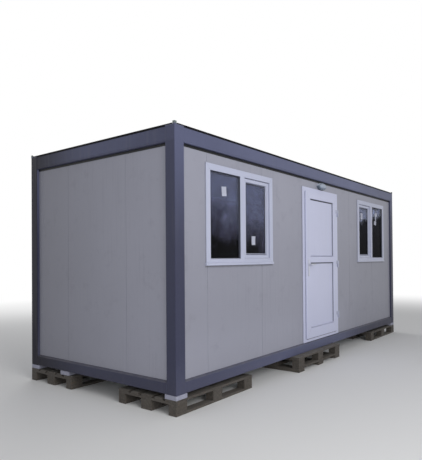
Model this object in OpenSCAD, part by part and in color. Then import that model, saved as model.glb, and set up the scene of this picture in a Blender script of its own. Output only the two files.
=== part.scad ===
// Portable site cabin: pressed steel frame, sandwich panel walls, a door and two windows, set on pallets

/* [Steel frame] */
// Length of the cabin over its corner posts
cabin_l = 6000; // [5400:50:7000]
// Depth of the cabin over its corner posts
cabin_w = 2400; // [2200:20:2600]
// Height of the steel frame, from under the floor rails to the top of the roof beams
frame_h = 2485; // [2385:5:2700]
// Width of a corner post on both of its faces
post_w = 126; // [110:2:150]
// Thickness of the pressed steel of posts, rails and beams
steel_t = 4; // [3:0.5:5]
// Radius of the bends of posts, rails and beams
bend_r = 8; // [7:0.5:11]
// Set back of rails and beams behind the faces of the posts
rail_setback = 2; // [0:0.5:4]
// Height of the upright face of a floor rail
rail_face_h = 105; // [90:1:120]
// Rise of the sloping ledge from the rail face up to the wall seat
ledge_rise = 15; // [10:1:25]
// Width of the bottom flange of a floor rail
rail_flange_w = 60; // [40:2:75]
// Height of the face of a roof beam
beam_face_h = 150; // [120:5:150]
// Width of the top flange of a roof beam
beam_flange_w = 40; // [30:2:50]
// Depth of the lip that turns down from the top flange of a roof beam
beam_lip_h = 15; // [8:1:25]

/* [Floor and roof] */
// Height of the floor joists
joist_h = 96; // [70:2:100]
// Width of the floor joists
joist_w = 50; // [40:2:70]
// Number of floor joists
joist_count = 11; // [9:1:13]
// Thickness of the steel of joists and purlins
section_t = 3; // [2:0.5:4]
// Thickness of the steel sheet under the floor
pan_t = 2; // [1:0.5:3]
// Thickness of the floor deck
deck_t = 22; // [18:1:28]
// Thickness of the ceiling panel
ceiling_t = 12; // [8:1:20]
// Height of the roof purlins
purlin_h = 80; // [60:2:90]
// Width of the roof purlins
purlin_w = 45; // [35:1:60]
// Number of roof purlins
purlin_count = 9; // [7:1:12]
// Thickness of the roof sheet
sheet_t = 2; // [1.5:0.5:3]
// Height of the ribs of the roof sheet
rib_h = 20; // [15:1:25]
// Width of the top of a rib of the roof sheet
rib_w = 65; // [40:1:90]
// Number of ribs of the roof sheet
rib_count = 9; // [7:1:12]
// Clearance between the roof sheet and the corner posts
sheet_clear = 6; // [4:1:12]
// Overhang of the roof sheet into the gutters
sheet_overhang = 25; // [15:1:30]
// Height of the black edge strip on the roof beams
edge_strip_h = 18; // [12:1:24]
// Height of the corner caps above the roof beams
cap_h = 33; // [24:1:40]
// Width of the upright angle of a corner cap
cap_angle_w = 28; // [20:1:40]
// Gap between the upright angle of a corner cap and the edge strips
cap_gap = 3; // [2:0.5:6]
// Thickness of a corner cap
cap_t = 6; // [4:1:8]

/* [Walls] */
// Thickness of the sandwich panels
wall_t = 60; // [50:5:80]
// Distance of the panels behind the faces of the steel frame
panel_setback = 30; // [20:1:35]
// Width of one sandwich panel
panel_module = 980; // [900:10:1100]
// Width of the narrow panel to the right of the door
narrow_panel_w = 475; // [400:5:600]
// Width of the cover strips beside the corner posts
strip_w = 90; // [60:2:110]
// Thickness of the cover strips
strip_t = 1.5; // [1:0.25:2.5]
// Width of the joint between two panels
joint_w = 4; // [3:1:8]
// Depth of the joint between two panels
joint_d = 3; // [2:0.5:5]
// Height of the dark seal between the wall panels and the roof beams
head_seal_h = 26; // [14:1:32]
// Height of the wall over the door and the windows
over_door_h = 98; // [95:1:300]

/* [Windows] */
// Width of a window over its frame
window_w = 1230; // [1040:10:1300]
// Height of a window over its frame
window_h = 1030; // [900:10:1100]
// Distance from the end of the cabin to the nearest edge of a window
window_from_end = 460; // [300:5:500]
// Width of the visible frame bars
window_bar = 66; // [60:1:85]
// Width of the bar between the two lights
mullion_w = 75; // [60:1:90]
// Width of the visible sash bars
sash_bar = 45; // [38:1:55]
// Set back of the sash behind the face of the window frame
sash_setback = 15; // [8:1:20]
// Gap between the sash and the frame around it
sash_gap = 5; // [3:0.5:7]
// Thickness of the sash part that overlaps the frame inside the room
sash_flange_t = 12; // [8:1:16]
// Overlap of the sash on the inside of the frame
sash_overlap = 10; // [6:1:14]
// Thickness of the double glazing
glass_t = 24; // [20:1:28]
// Depth of the glass inside its rebate
glass_seat = 8; // [5:1:12]
// Set back of the fixed glass behind the face of the window frame
glass_setback = 24; // [18:1:28]
// Width of the sloping edge round each light
bead_w = 8; // [5:1:12]
// Height of the sill at the foot of a window frame
sill_h = 28; // [20:1:40]
// Distance that a window sill stands out from the window frame
sill_proud = 9; // [4:1:16]
// Distance that a window sill runs past each side of the window frame
sill_overhang = 8; // [2:1:20]

/* [Door] */
// Width of the door over its frame
door_w = 1080; // [980:10:1120]
// Place of the middle of the door, from the middle of the cabin
door_x = -25; // [-100:5:100]
// Visible width of the door frame beside and above the leaf
door_frame_face = 55; // [50:1:70]
// Visible height of the threshold under the leaf
threshold_face = 45; // [35:1:60]
// Overlap of the leaf on the face of its frame
leaf_overlap = 15; // [12:1:20]
// Thickness of the leaf's overlapping edge
leaf_lip_t = 13; // [10:1:16]
// Thickness of the leaf
leaf_t = 57; // [50:1:60]
// Clearance between the closed leaf and the face of its frame
leaf_face_gap = 5; // [5:0.5:6]
// Clearance between the edge of the leaf and the frame around it
leaf_edge_gap = 8; // [8:0.5:10]
// Width of the stiles of the leaf
stile_w = 130; // [110:1:150]
// Height of the top rail of the leaf
top_rail_h = 94; // [85:1:130]
// Height of the bottom rail of the leaf
bottom_rail_h = 135; // [110:1:180]
// Height of the middle rail of the leaf
middle_rail_h = 80; // [70:1:110]
// Height of the underside of the middle rail above the underside of the leaf
middle_rail_z = 1025; // [900:5:1100]
// Thickness of the infill panels of the leaf
infill_t = 24; // [20:1:28]
// Set back of the infill panels behind the face of the leaf
infill_setback = 18; // [12:1:22]
// Number of hinges
hinge_count = 3; // [2:1:4]
// Distance from the ends of the leaf to the outer hinges
hinge_inset = 190; // [120:5:260]
// Height of one hinge
hinge_h = 100; // [80:2:130]
// Radius of the hinge knuckles
knuckle_r = 10; // [9:0.5:11]
// Radius of the hinge pins
pin_r = 6; // [4:0.5:7]
// Distance of the hinge axis from the edge of the leaf
hinge_out = 13; // [13:0.5:16]
// Distance of the hinge axis in front of the leaf
hinge_front = 9; // [9:0.5:12]

/* [Window handles] */
// Width of the rosette of a window handle
rosette_w = 26; // [22:1:32]
// Height of the rosette of a window handle
rosette_h = 64; // [56:1:76]
// Thickness of the rosette of a window handle
rosette_t = 7; // [5:1:10]
// Width of the grip of a window handle
grip_w = 16; // [12:1:20]
// Length of the grip of a window handle
grip_l = 120; // [100:1:140]
// Thickness of the grip of a window handle
grip_t = 12; // [10:1:15]
// Distance from the rosette to the room side of the grip
grip_stand = 26; // [22:1:34]

/* [Door handle] */
// Height of the lever above the underside of the leaf
lever_z = 1000; // [900:5:1100]
// Length of the lever
lever_l = 125; // [100:1:140]
// Thickness of the lever
lever_t = 18; // [14:1:22]
// Distance from the leaf to the middle of the lever
lever_stand = 42; // [35:1:50]
// Width of the back plate of the handle
plate_w = 34; // [28:1:40]
// Height of the back plate of the handle
plate_h = 230; // [200:2:260]
// Thickness of the back plate of the handle
plate_t = 8; // [6:1:12]
// Height of the back plate above the middle of the lever
plate_over = 69; // [40:1:90]
// Distance from the middle of the lever down to the key cylinder
key_drop = 83; // [72:1:92]
// Radius of the key cylinder
key_r = 8.5; // [8:0.5:10]
// Distance that the key cylinder stands out from the back plate
key_proud = 4; // [2:0.5:6]

/* [Lamp] */
// Width of the oval lamp over the door
lamp_w = 210; // [180:2:230]
// Height of the lamp
lamp_h = 100; // [86:1:100]
// Depth of the lamp's housing
lamp_base_d = 42; // [30:1:52]
// Depth of the lamp's glass in front of the housing
lamp_lens_d = 40; // [30:1:56]
// Width of the housing's rim around the glass
lamp_rim = 13; // [9:1:16]
// Depth of the seat of the glass in the housing
lamp_seat = 4; // [3:0.5:8]
// Gap between the door frame and the lamp above it
lamp_gap = 3; // [2:0.5:6]

/* [Supports] */
// Length of a pallet
pallet_l = 1200; // [1000:10:1300]
// Depth of a pallet
pallet_w = 800; // [700:10:900]
// Thickness of the pallet boards
board_t = 22; // [18:1:25]
// Height of the pallet blocks
block_h = 78; // [70:1:90]
// Width of the wide pallet boards and blocks
board_wide = 145; // [120:1:160]
// Width of the narrow pallet boards and blocks
board_narrow = 100; // [80:1:120]
// Thickness of the packers on the corner pallets and of the boards under the middle ones
packer_t = 45; // [30:1:60]
// Width of a corner packer
packer_w = 150; // [130:2:180]
// Distance that the middle pallets stand out from the walls
pallet_out = 100; // [60:5:140]
// Place of the middle pallets to the right of the middle of the cabin
middle_pallet_x = -310; // [-400:10:400]
// Distance from the rear to the packer under the left floor rail
rail_packer_from_rear = 590; // [300:10:600]

/* [Hidden] */

steel_color = [0.38, 0.40, 0.50];
panel_color = [0.64, 0.65, 0.70];
frame_color = [0.86, 0.87, 0.95];
dark_color = [0.10, 0.10, 0.11];
glass_color = [0.20, 0.22, 0.27];
wood_color = [0.42, 0.37, 0.30];
zinc_color = [0.62, 0.64, 0.66];

pallet_h = 3 * board_t + block_h;
base_z = pallet_h + packer_t;
wall_seat_z = base_z + rail_face_h + ledge_rise;
beam_top_z = base_z + frame_h;
soffit_z = beam_top_z - beam_face_h;
wall_top_z = soffit_z - head_seal_h;
inner_d = panel_setback + wall_t;
lip_w = post_w - inner_d;
room_l = cabin_l - 2 * inner_d;
room_w = cabin_w - 2 * inner_d;
purlin_z = soffit_z + ceiling_t;
sheet_z = purlin_z + purlin_h;

frame_proud = 12;
frame_face_d = panel_setback - frame_proud;
cover = 15;
fit_gap = 5;
door_h = wall_top_z - wall_seat_z - over_door_h;
door_top_z = wall_seat_z + door_h;
trim_w = 30;
trim_t = 6;
window_x = cabin_l / 2 - window_from_end - window_w / 2;
light_w = (window_w - 2 * window_bar - mullion_w) / 2;
light_h = window_h - 2 * window_bar;
light_x = (light_w + mullion_w) / 2;
window_mid_z = door_top_z - window_h / 2;
sash_w = light_w - 2 * sash_gap;
sash_h = light_h - 2 * sash_gap;
sash_face_d = frame_face_d + sash_setback;
fixed_glass_d = frame_face_d + glass_setback;
sash_glass_d = sash_face_d + glass_setback;

leaf_w = door_w - 2 * door_frame_face;
leaf_h = door_h - door_frame_face - threshold_face;
leaf_z = wall_seat_z + threshold_face;
leaf_face_d = frame_face_d - leaf_face_gap - leaf_lip_t;
door_clear_w = leaf_w - 2 * leaf_overlap;
door_clear_z = leaf_z + leaf_overlap;
door_clear_top_z = leaf_z + leaf_h - leaf_overlap;
door_stop = 15;
leaf_left = door_x - leaf_w / 2;
leaf_right = door_x + leaf_w / 2;
infill_w = leaf_w - 2 * stile_w;
lower_infill_z = leaf_z + bottom_rail_h;
lower_infill_h = middle_rail_z - bottom_rail_h;
upper_infill_z = leaf_z + middle_rail_z + middle_rail_h;
upper_infill_h = leaf_h - top_rail_h - middle_rail_z - middle_rail_h;
hinge_x = leaf_right + hinge_out;
hinge_y = front(leaf_face_d - hinge_front);
pin_clear = 0.05;
knuckle_gap = 2;
handle_x = leaf_left + stile_w / 2;
lamp_z = door_top_z + lamp_gap + lamp_h / 2;
round_fn = 48;
bend_steps = 3;

// Place of a plane that lies a given depth behind the front face of the steel frame
function front(d) = -cabin_w / 2 + d;

// Unit direction from one point to the next
function along(a, b) = (b - a) / norm(b - a);

// Left-hand normal of a direction
function left_of(d) = [-d[1], d[0]];

// Mitred offset of one point of an open path, t to its left
function mitre(path, i, t) =
    let (n = len(path) - 1)
    let (before = left_of(along(path[max(i - 1, 0)], path[max(i, 1)])))
    let (after = left_of(along(path[min(i, n - 1)], path[min(i + 1, n)])))
    path[i] + t * (before + after) / (1 + before * after);

// Outline of a sheet of thickness t bent along an open path, with the thickness on its left
function bent_sheet(path, t) = concat(path, [for (i = [len(path) - 1 : -1 : 0]) mitre(path, i, t)]);

// Point turned by an angle about the origin
function turned(p, angle) = [p[0] * cos(angle) - p[1] * sin(angle), p[0] * sin(angle) + p[1] * cos(angle)];

// Points of an arc of radius r in place of the corner b between a and c
function bend(a, b, c, r) =
    let (before = along(b, a), after = along(b, c))
    let (half = acos(before * after) / 2)
    let (centre = b + along([0, 0], before + after) * r / sin(half))
    let (start = b + before * r / tan(half) - centre)
    let (sweep = (180 - 2 * half) * (cross(before, after) > 0 ? -1 : 1))
    [for (k = [0 : bend_steps]) centre + turned(start, sweep * k / bend_steps)];

// Open path with all its corners bent to a radius r
function bent(path, r) = concat(
    [path[0]],
    [for (i = [1 : len(path) - 2]) each bend(path[i - 1], path[i], path[i + 1], r)],
    [path[len(path) - 1]]
);

// Box between two x, two y and two z values
module block(x, y, z) {
    translate([x[0], y[0], z[0]])
        cube([x[1] - x[0], y[1] - y[0], z[1] - z[0]]);
}

// Box w wide and h high round the point x, z, between two depths behind the front face
module plate_at(x, z, w, h, d) {
    block([x - w / 2, x + w / 2], [front(d[0]), front(d[1])], [z - h / 2, z + h / 2]);
}

// Cut that narrows from w and h at depth d0 by the inset on each side at depth d1
module tapered_cut(x, z, w, h, d0, d1, inset) {
    a = w / 2;
    b = h / 2;
    c = w / 2 - inset;
    e = h / 2 - inset;
    y0 = front(d0);
    y1 = front(d1);
    polyhedron(
        points = [
            [x - a, y0, z - b], [x + a, y0, z - b], [x + a, y0, z + b], [x - a, y0, z + b],
            [x - c, y1, z - e], [x + c, y1, z - e], [x + c, y1, z + e], [x - c, y1, z + e]
        ],
        faces = [[3, 2, 1, 0], [4, 5, 6, 7], [5, 4, 0, 1], [6, 5, 1, 2], [7, 6, 2, 3], [4, 7, 3, 0]]
    );
}

// Opening through a bar frame, with a sloping edge outside and a rebate for glass or infill
module glazed_opening(x, z, w, h, face_d, seat_d, seat_t, back_d) {
    slack = 1;
    widen = slack * bead_w / (seat_d - face_d);
    tapered_cut(x, z, w + 2 * widen, h + 2 * widen, face_d - slack, seat_d, bead_w + widen);
    plate_at(x, z, w - 2 * bead_w, h - 2 * bead_w, [seat_d - slack, back_d + slack]);
    plate_at(x, z, w - 2 * bead_w + 2 * glass_seat, h - 2 * bead_w + 2 * glass_seat,
        [seat_d, seat_d + seat_t]);
}

// Posts, rails and beams
// Corner post: an outer sheet whose lips cover the panel edges, closed by an angle inside
module corner_post(side_x, side_y) {
    outer = [[post_w, panel_setback], [post_w, 0], [0, 0], [0, post_w], [panel_setback, post_w]];
    inner = [[inner_d, steel_t / 2], [inner_d, inner_d], [steel_t / 2, inner_d]];
    color(steel_color)
        at_corner(side_x, side_y)
            translate([0, 0, base_z]) {
                linear_extrude(frame_h)
                    polygon(bent_sheet(bent(outer, bend_r), -steel_t));
                linear_extrude(frame_h)
                    polygon(bent_sheet(bent(inner, bend_r), steel_t));
            }
}

// Puts a shape drawn at the front left corner of the cabin at the corner of the given sides
module at_corner(side_x, side_y) {
    mirror([side_x > 0 ? 1 : 0, 0, 0])
        mirror([0, side_y > 0 ? 1 : 0, 0])
            translate([-cabin_l / 2, -cabin_w / 2, 0])
                children();
}

// Outline of a floor rail: flange, face, sloping ledge, wall seat and inner web
floor_rail_path = [
    [rail_flange_w, 0], [rail_setback, 0], [rail_setback, rail_face_h],
    [panel_setback, rail_face_h + ledge_rise],
    [inner_d, rail_face_h + ledge_rise], [inner_d, rail_face_h + ledge_rise - joist_h]
];

// Outline of a roof beam: inner web, soffit, face, top flange and its lip
roof_beam_path = [
    [inner_d, ceiling_t + purlin_h], [inner_d, 0], [rail_setback, 0], [rail_setback, beam_face_h],
    [beam_flange_w, beam_face_h], [beam_flange_w, beam_face_h - beam_lip_h]
];

// Long bar of a bent section along a wall of the given length, cut back behind the lips of the posts
module wall_bar(path, length, z) {
    top = max([for (p = path) p[1]]);
    difference() {
        translate([length / 2 - inner_d, 0, z])
            rotate([90, 0, -90])
                linear_extrude(length - 2 * inner_d)
                    mirror([1, 0])
                        polygon(bent_sheet(bent(path, bend_r), -steel_t));
        for (side = [-1, 1])
            translate([side * (length / 2 - post_w / 2) - post_w / 2, -1, z - 1])
                cube([post_w, panel_setback + 1, top + 2]);
    }
}

module on_long_side(side) {
    mirror([0, side > 0 ? 1 : 0, 0])
        translate([0, -cabin_w / 2, 0])
            children();
}

module on_short_side(side) {
    rotate([0, 0, side < 0 ? -90 : 90])
        translate([0, -cabin_l / 2, 0])
            children();
}

module floor_rail_long(side) {
    color(steel_color)
        on_long_side(side)
            wall_bar(floor_rail_path, cabin_l, base_z);
}

module floor_rail_short(side) {
    color(steel_color)
        on_short_side(side)
            wall_bar(floor_rail_path, cabin_w, base_z);
}

module roof_beam_long(side) {
    color(steel_color)
        on_long_side(side)
            wall_bar(roof_beam_path, cabin_l, soffit_z);
}

module roof_beam_short(side) {
    color(steel_color)
        on_short_side(side)
            wall_bar(roof_beam_path, cabin_w, soffit_z);
}

// Open channel of width w and height h across the cabin, at place x
module cross_channel(x, w, h, z) {
    path = [[w, h], [0, h], [0, 0], [w, 0]];
    translate([x - w / 2, room_w / 2, z])
        rotate([90, 0, 0])
            linear_extrude(room_w)
                polygon(bent_sheet(path, section_t));
}

// Even places of the given number of members, with the outer ones against the end webs
function member_place(i, count, w) = -room_l / 2 + w / 2 + i * (room_l - w) / (count - 1);

module floor_joists() {
    color(steel_color)
        for (i = [1 : joist_count - 2])
            cross_channel(member_place(i, joist_count, joist_w), joist_w, joist_h, wall_seat_z - joist_h);
}

module floor_pan() {
    color(zinc_color)
        block([-room_l / 2, room_l / 2], [-room_w / 2, room_w / 2],
            [wall_seat_z - joist_h - pan_t, wall_seat_z - joist_h]);
}

module floor_deck() {
    color([0.45, 0.44, 0.42])
        block([-room_l / 2, room_l / 2], [-room_w / 2, room_w / 2], [wall_seat_z, wall_seat_z + deck_t]);
}

module roof_purlins() {
    color(zinc_color)
        for (i = [1 : purlin_count - 2])
            cross_channel(member_place(i, purlin_count, purlin_w), purlin_w, purlin_h, purlin_z);
}

module ceiling_panel() {
    color([0.85, 0.85, 0.86])
        block([-room_l / 2, room_l / 2], [-room_w / 2, room_w / 2], [soffit_z, soffit_z + ceiling_t]);
}

// Roof sheet with trapezoidal ribs that run over the purlins from end to end
module roof_sheet() {
    sheet_l = room_l + 2 * sheet_overhang;
    sheet_w = room_w + 2 * sheet_overhang;
    pitch = sheet_w / rib_count;
    slope = rib_h / 2;
    ridge = [for (i = [0 : rib_count - 1]) for (p = [
        [0, 0], [pitch / 2 - rib_w / 2 - slope, 0], [pitch / 2 - rib_w / 2, rib_h],
        [pitch / 2 + rib_w / 2, rib_h], [pitch / 2 + rib_w / 2 + slope, 0]
    ]) [i * pitch + p[0], p[1]]];
    path = concat(ridge, [[sheet_w, 0]]);
    notch = inner_d + sheet_clear;
    color(zinc_color)
        difference() {
            translate([-sheet_l / 2, -sheet_w / 2, sheet_z])
                rotate([90, 0, 90])
                    linear_extrude(sheet_l)
                        polygon(bent_sheet(path, sheet_t));
            for (side_x = [-1, 1], side_y = [-1, 1])
                at_corner(side_x, side_y)
                    translate([0, 0, sheet_z - 1])
                        cube([notch, notch, rib_h + sheet_t + 2]);
        }
}

// Strip along the top of a beam and over the caps of the posts, mitred where two strips meet
module edge_strip(length) {
    bevel = edge_strip_h / 3;
    start = cap_angle_w + cap_gap;
    width = beam_flange_w - rail_setback;
    difference() {
        translate([length / 2 - start, 0, beam_top_z])
            rotate([90, 0, -90])
                linear_extrude(length - 2 * start)
                    mirror([1, 0])
                        polygon([
                            [rail_setback, 0], [beam_flange_w, 0], [beam_flange_w, edge_strip_h - bevel],
                            [beam_flange_w - bevel, edge_strip_h], [rail_setback + bevel / 2, edge_strip_h],
                            [rail_setback, edge_strip_h - bevel / 2]
                        ]);
        for (side = [0, 1])
            mirror([side, 0, 0])
                translate([-length / 2, 0, beam_top_z]) {
                    translate([0, 0, -cap_t])
                        cube([post_w, post_w, 2 * cap_t]);
                    translate([0, rail_setback, 0])
                        linear_extrude(2 * edge_strip_h)
                            polygon([[start - 1, -1], [start + width + 1, width + 1], [start - 1, width + 1]]);
                }
    }
}

module roof_edge_strip() {
    color(dark_color)
        for (side = [-1, 1]) {
            on_long_side(side)
                edge_strip(cabin_l);
            on_short_side(side)
                edge_strip(cabin_w);
        }
}

module roof_corner_caps() {
    color([0.55, 0.60, 0.57])
        for (side_x = [-1, 1], side_y = [-1, 1])
            at_corner(side_x, side_y)
                translate([0, 0, beam_top_z]) {
                    cube([post_w, post_w, cap_t]);
                    cube([cap_angle_w, cap_t, cap_h]);
                    cube([cap_t, cap_angle_w, cap_h]);
                }
}

// Walls
module wall_head_strip(length) {
    block([-length / 2 + inner_d, length / 2 - inner_d], [panel_setback, inner_d], [wall_top_z, soffit_z]);
}

module wall_head_seal() {
    color(dark_color)
        for (side = [-1, 1]) {
            on_long_side(side)
                wall_head_strip(cabin_l);
            on_short_side(side)
                wall_head_strip(cabin_w);
        }
}

// Run of wall panels between two places along a wall, with a joint at each place listed
module wall_panels(from, to, bottom, joints) {
    difference() {
        block([from, to], [panel_setback, inner_d], [bottom, wall_top_z]);
        for (x = joints, y = [panel_setback - 1, inner_d - joint_d])
            if (x > from + joint_w && x < to - joint_w)
                translate([x - joint_w / 2, y, bottom - 1])
                    cube([joint_w, joint_d + 1, wall_top_z - bottom + 2]);
    }
}

// Cover strip beside the post at one end of a wall of the given length
module post_strip(side, length) {
    edge = side * (length / 2 - post_w);
    block([min(edge, edge - side * strip_w), max(edge, edge - side * strip_w)],
        [panel_setback - strip_t, panel_setback + strip_t], [wall_seat_z, wall_top_z]);
}

// Wall without openings from post to post, with its joints at whole panel widths from the middle
module plain_wall(length) {
    end = length / 2 - inner_d;
    joints = [for (side = [-1, 1], i = [0 : floor(end / panel_module)]) side * (i + 0.5) * panel_module];
    wall_panels(-end, end, wall_seat_z, joints);
    for (side = [-1, 1])
        post_strip(side, length);
}

module window_hole(x) {
    plate_at(x, window_mid_z, window_w - 2 * cover + 2 * fit_gap, window_h - 2 * cover + 2 * fit_gap,
        [panel_setback - 1, inner_d + 1]);
}

// Front wall: whole panels to the left of the door, a narrow one and then whole panels to the right
door_hole_w = door_w - 2 * cover + 2 * fit_gap;
door_hole_top = door_top_z - cover + fit_gap;
door_hole_left = door_x - door_hole_w / 2;
door_hole_right = door_x + door_hole_w / 2;
left_joints = [for (x = [door_hole_left - panel_module : -panel_module : -cabin_l / 2 + inner_d]) x];
right_joints = [for (x = [door_hole_right + narrow_panel_w : panel_module : cabin_l / 2 - inner_d]) x];

module front_wall_left() {
    color(panel_color)
        difference() {
            on_long_side(-1) {
                wall_panels(-cabin_l / 2 + inner_d, door_hole_left, wall_seat_z, left_joints);
                post_strip(-1, cabin_l);
            }
            window_hole(-window_x);
        }
}

module front_wall_right() {
    color(panel_color)
        difference() {
            on_long_side(-1) {
                wall_panels(door_hole_right, cabin_l / 2 - inner_d, wall_seat_z, right_joints);
                post_strip(1, cabin_l);
            }
            window_hole(window_x);
        }
}

module front_wall_over_door() {
    color(panel_color)
        on_long_side(-1)
            wall_panels(door_hole_left, door_hole_right, door_hole_top, []);
}

module rear_wall() {
    color(panel_color)
        on_long_side(1)
            plain_wall(cabin_l);
}

module end_wall(side) {
    color(panel_color)
        on_short_side(side)
            plain_wall(cabin_w);
}

// Sill at the foot of a window frame, with a sloping top that sheds the rain
module window_sill(x) {
    face_d = frame_face_d - sill_proud;
    translate([x - window_w / 2 - sill_overhang, -cabin_w / 2, window_mid_z - window_h / 2])
        rotate([90, 0, 90])
            linear_extrude(window_w + 2 * sill_overhang)
                polygon([
                    [face_d, 0], [panel_setback, 0], [panel_setback, sill_h],
                    [frame_face_d, sill_h], [face_d, sill_h - sill_proud / 2]
                ]);
}

// Windows: the side is -1 for the left window and 1 for the right one, whose sash is on its other side
module window_frame(side) {
    x = side * window_x;
    z = window_mid_z;
    color(frame_color)
        difference() {
            union() {
                plate_at(x, z, window_w, window_h, [frame_face_d, panel_setback]);
                plate_at(x, z, window_w - 2 * cover, window_h - 2 * cover, [frame_face_d, inner_d]);
                window_sill(x);
                difference() {
                    plate_at(x, z, window_w - 2 * cover + trim_w, window_h - 2 * cover + trim_w,
                        [inner_d, inner_d + trim_t]);
                    plate_at(x, z, window_w - 2 * cover - trim_w, window_h - 2 * cover - trim_w,
                        [inner_d - 1, inner_d + trim_t + 1]);
                }
            }
            glazed_opening(x + side * light_x, z, light_w, light_h, frame_face_d, fixed_glass_d,
                glass_t, inner_d);
            plate_at(x - side * light_x, z, light_w, light_h, [frame_face_d - 1, inner_d + 1]);
        }
}

module window_sash(side) {
    x = side * (window_x - light_x);
    z = window_mid_z;
    color(frame_color)
        difference() {
            union() {
                plate_at(x, z, sash_w, sash_h, [sash_face_d, inner_d]);
                plate_at(x, z, light_w + 2 * sash_overlap, light_h + 2 * sash_overlap,
                    [inner_d, inner_d + sash_flange_t]);
            }
            glazed_opening(x, z, sash_w - 2 * sash_bar + 2 * bead_w, sash_h - 2 * sash_bar + 2 * bead_w,
                sash_face_d, sash_glass_d, glass_t, inner_d + sash_flange_t);
        }
}

module window_glass(side) {
    x = side * window_x;
    z = window_mid_z;
    edge = 2 * glass_seat - 2 * bead_w;
    color(glass_color) {
        plate_at(x + side * light_x, z, light_w + edge, light_h + edge,
            [fixed_glass_d, fixed_glass_d + glass_t]);
        plate_at(x - side * light_x, z,
            sash_w - 2 * sash_bar + 2 * glass_seat, sash_h - 2 * sash_bar + 2 * glass_seat,
            [sash_glass_d, sash_glass_d + glass_t]);
    }
}

// Turned handles inside the room, on the stile of each sash beside the mullion
module window_handles() {
    sash_back = inner_d + sash_flange_t;
    grip_back = sash_back + rosette_t + grip_stand;
    color(frame_color)
        for (side = [-1, 1]) {
            x = side * (window_x - light_x + sash_w / 2 - sash_bar / 2);
            plate_at(x, window_mid_z, rosette_w, rosette_h, [sash_back, sash_back + rosette_t]);
            translate([x, front(sash_back + rosette_t), window_mid_z])
                rotate([-90, 0, 0])
                    cylinder(r = grip_w / 2, h = grip_stand, $fn = round_fn);
            plate_at(x, window_mid_z - grip_l / 2 + grip_w / 2, grip_w, grip_l,
                [grip_back - grip_t, grip_back]);
        }
}

// Door
module door_frame() {
    x = door_x;
    mid_z = wall_seat_z + door_h / 2;
    clear_z = (door_clear_z + door_clear_top_z) / 2;
    clear_h = door_clear_top_z - door_clear_z;
    stop_d = leaf_face_d + leaf_t + leaf_face_gap;
    body_z = [wall_seat_z, door_top_z - cover];
    color(frame_color)
        difference() {
            union() {
                plate_at(x, mid_z, door_w, door_h, [frame_face_d, panel_setback]);
                block([x - door_w / 2 + cover, x + door_w / 2 - cover],
                    [front(frame_face_d), front(inner_d)], body_z);
                difference() {
                    block([x - door_w / 2 + cover - trim_w / 2, x + door_w / 2 - cover + trim_w / 2],
                        [front(inner_d), front(inner_d + trim_t)],
                        [wall_seat_z + deck_t, door_top_z - cover + trim_w / 2]);
                    block([x - door_w / 2 + cover + trim_w / 2, x + door_w / 2 - cover - trim_w / 2],
                        [front(inner_d - 1), front(inner_d + trim_t + 1)],
                        [wall_seat_z, door_top_z - cover - trim_w / 2]);
                }
            }
            plate_at(x, clear_z, door_clear_w, clear_h, [frame_face_d - 1, stop_d]);
            block([x - door_clear_w / 2 + door_stop, x + door_clear_w / 2 - door_stop],
                [front(stop_d - 1), front(inner_d + trim_t + 1)],
                [door_clear_z, door_clear_top_z - door_stop]);
        }
}

module leaf_openings() {
    for (p = [[lower_infill_z, lower_infill_h], [upper_infill_z, upper_infill_h]])
        glazed_opening(door_x, p[0] + p[1] / 2, infill_w, p[1], leaf_face_d, leaf_face_d + infill_setback,
            infill_t, leaf_face_d + leaf_t);
}

module door_leaf() {
    edge = leaf_overlap + leaf_edge_gap;
    mid_z = leaf_z + leaf_h / 2;
    color(frame_color)
        difference() {
            union() {
                plate_at(door_x, mid_z, leaf_w, leaf_h, [leaf_face_d, leaf_face_d + leaf_lip_t]);
                plate_at(door_x, mid_z, leaf_w - 2 * edge, leaf_h - 2 * edge,
                    [leaf_face_d + leaf_lip_t, leaf_face_d + leaf_t]);
            }
            leaf_openings();
        }
}

module door_panels() {
    edge = 2 * glass_seat - 2 * bead_w;
    color([0.83, 0.85, 0.92])
        for (p = [[lower_infill_z, lower_infill_h], [upper_infill_z, upper_infill_h]])
            plate_at(door_x, p[0] + p[1] / 2, infill_w + edge, p[1] + edge,
                [leaf_face_d + infill_setback, leaf_face_d + infill_setback + infill_t]);
}

// Back plate, key cylinder and lever on one face of the leaf; out is 1 outside and -1 in the room
module lever_set(face_d, out) {
    end = plate_w / 2;
    plate_top = plate_over - end;
    plate_bottom = plate_over - plate_h + end;
    color([0.80, 0.81, 0.84])
        translate([handle_x, front(face_d), leaf_z + lever_z])
            mirror([0, out < 0 ? 1 : 0, 0])
                rotate([90, 0, 0]) {
                    for (y = [plate_bottom, plate_top])
                        translate([0, y, 0])
                            cylinder(r = end, h = plate_t, $fn = round_fn);
                    translate([-end, plate_bottom, 0])
                        cube([plate_w, plate_top - plate_bottom, plate_t]);
                    translate([0, -key_drop, 0])
                        cylinder(r = key_r, h = plate_t + key_proud, $fn = round_fn);
                    cylinder(r = lever_t / 2, h = lever_stand + lever_t / 2, $fn = round_fn);
                    translate([0, 0, lever_stand])
                        rotate([0, 90, 0])
                            cylinder(r = lever_t / 2, h = lever_l - lever_t / 2, $fn = round_fn);
                    translate([lever_l - lever_t / 2, 0, lever_stand])
                        sphere(r = lever_t / 2, $fn = round_fn);
                }
}

module door_handle() {
    lever_set(leaf_face_d, 1);
    lever_set(leaf_face_d + leaf_t, -1);
}

// Height of the underside of each hinge, the outer ones as far from the leaf's ends as each other
function hinge_z(i) = leaf_z + hinge_inset + i * (leaf_h - 2 * hinge_inset - hinge_h) / (hinge_count - 1);

lower_knuckle_h = hinge_h / 2 - knuckle_gap / 2;

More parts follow.
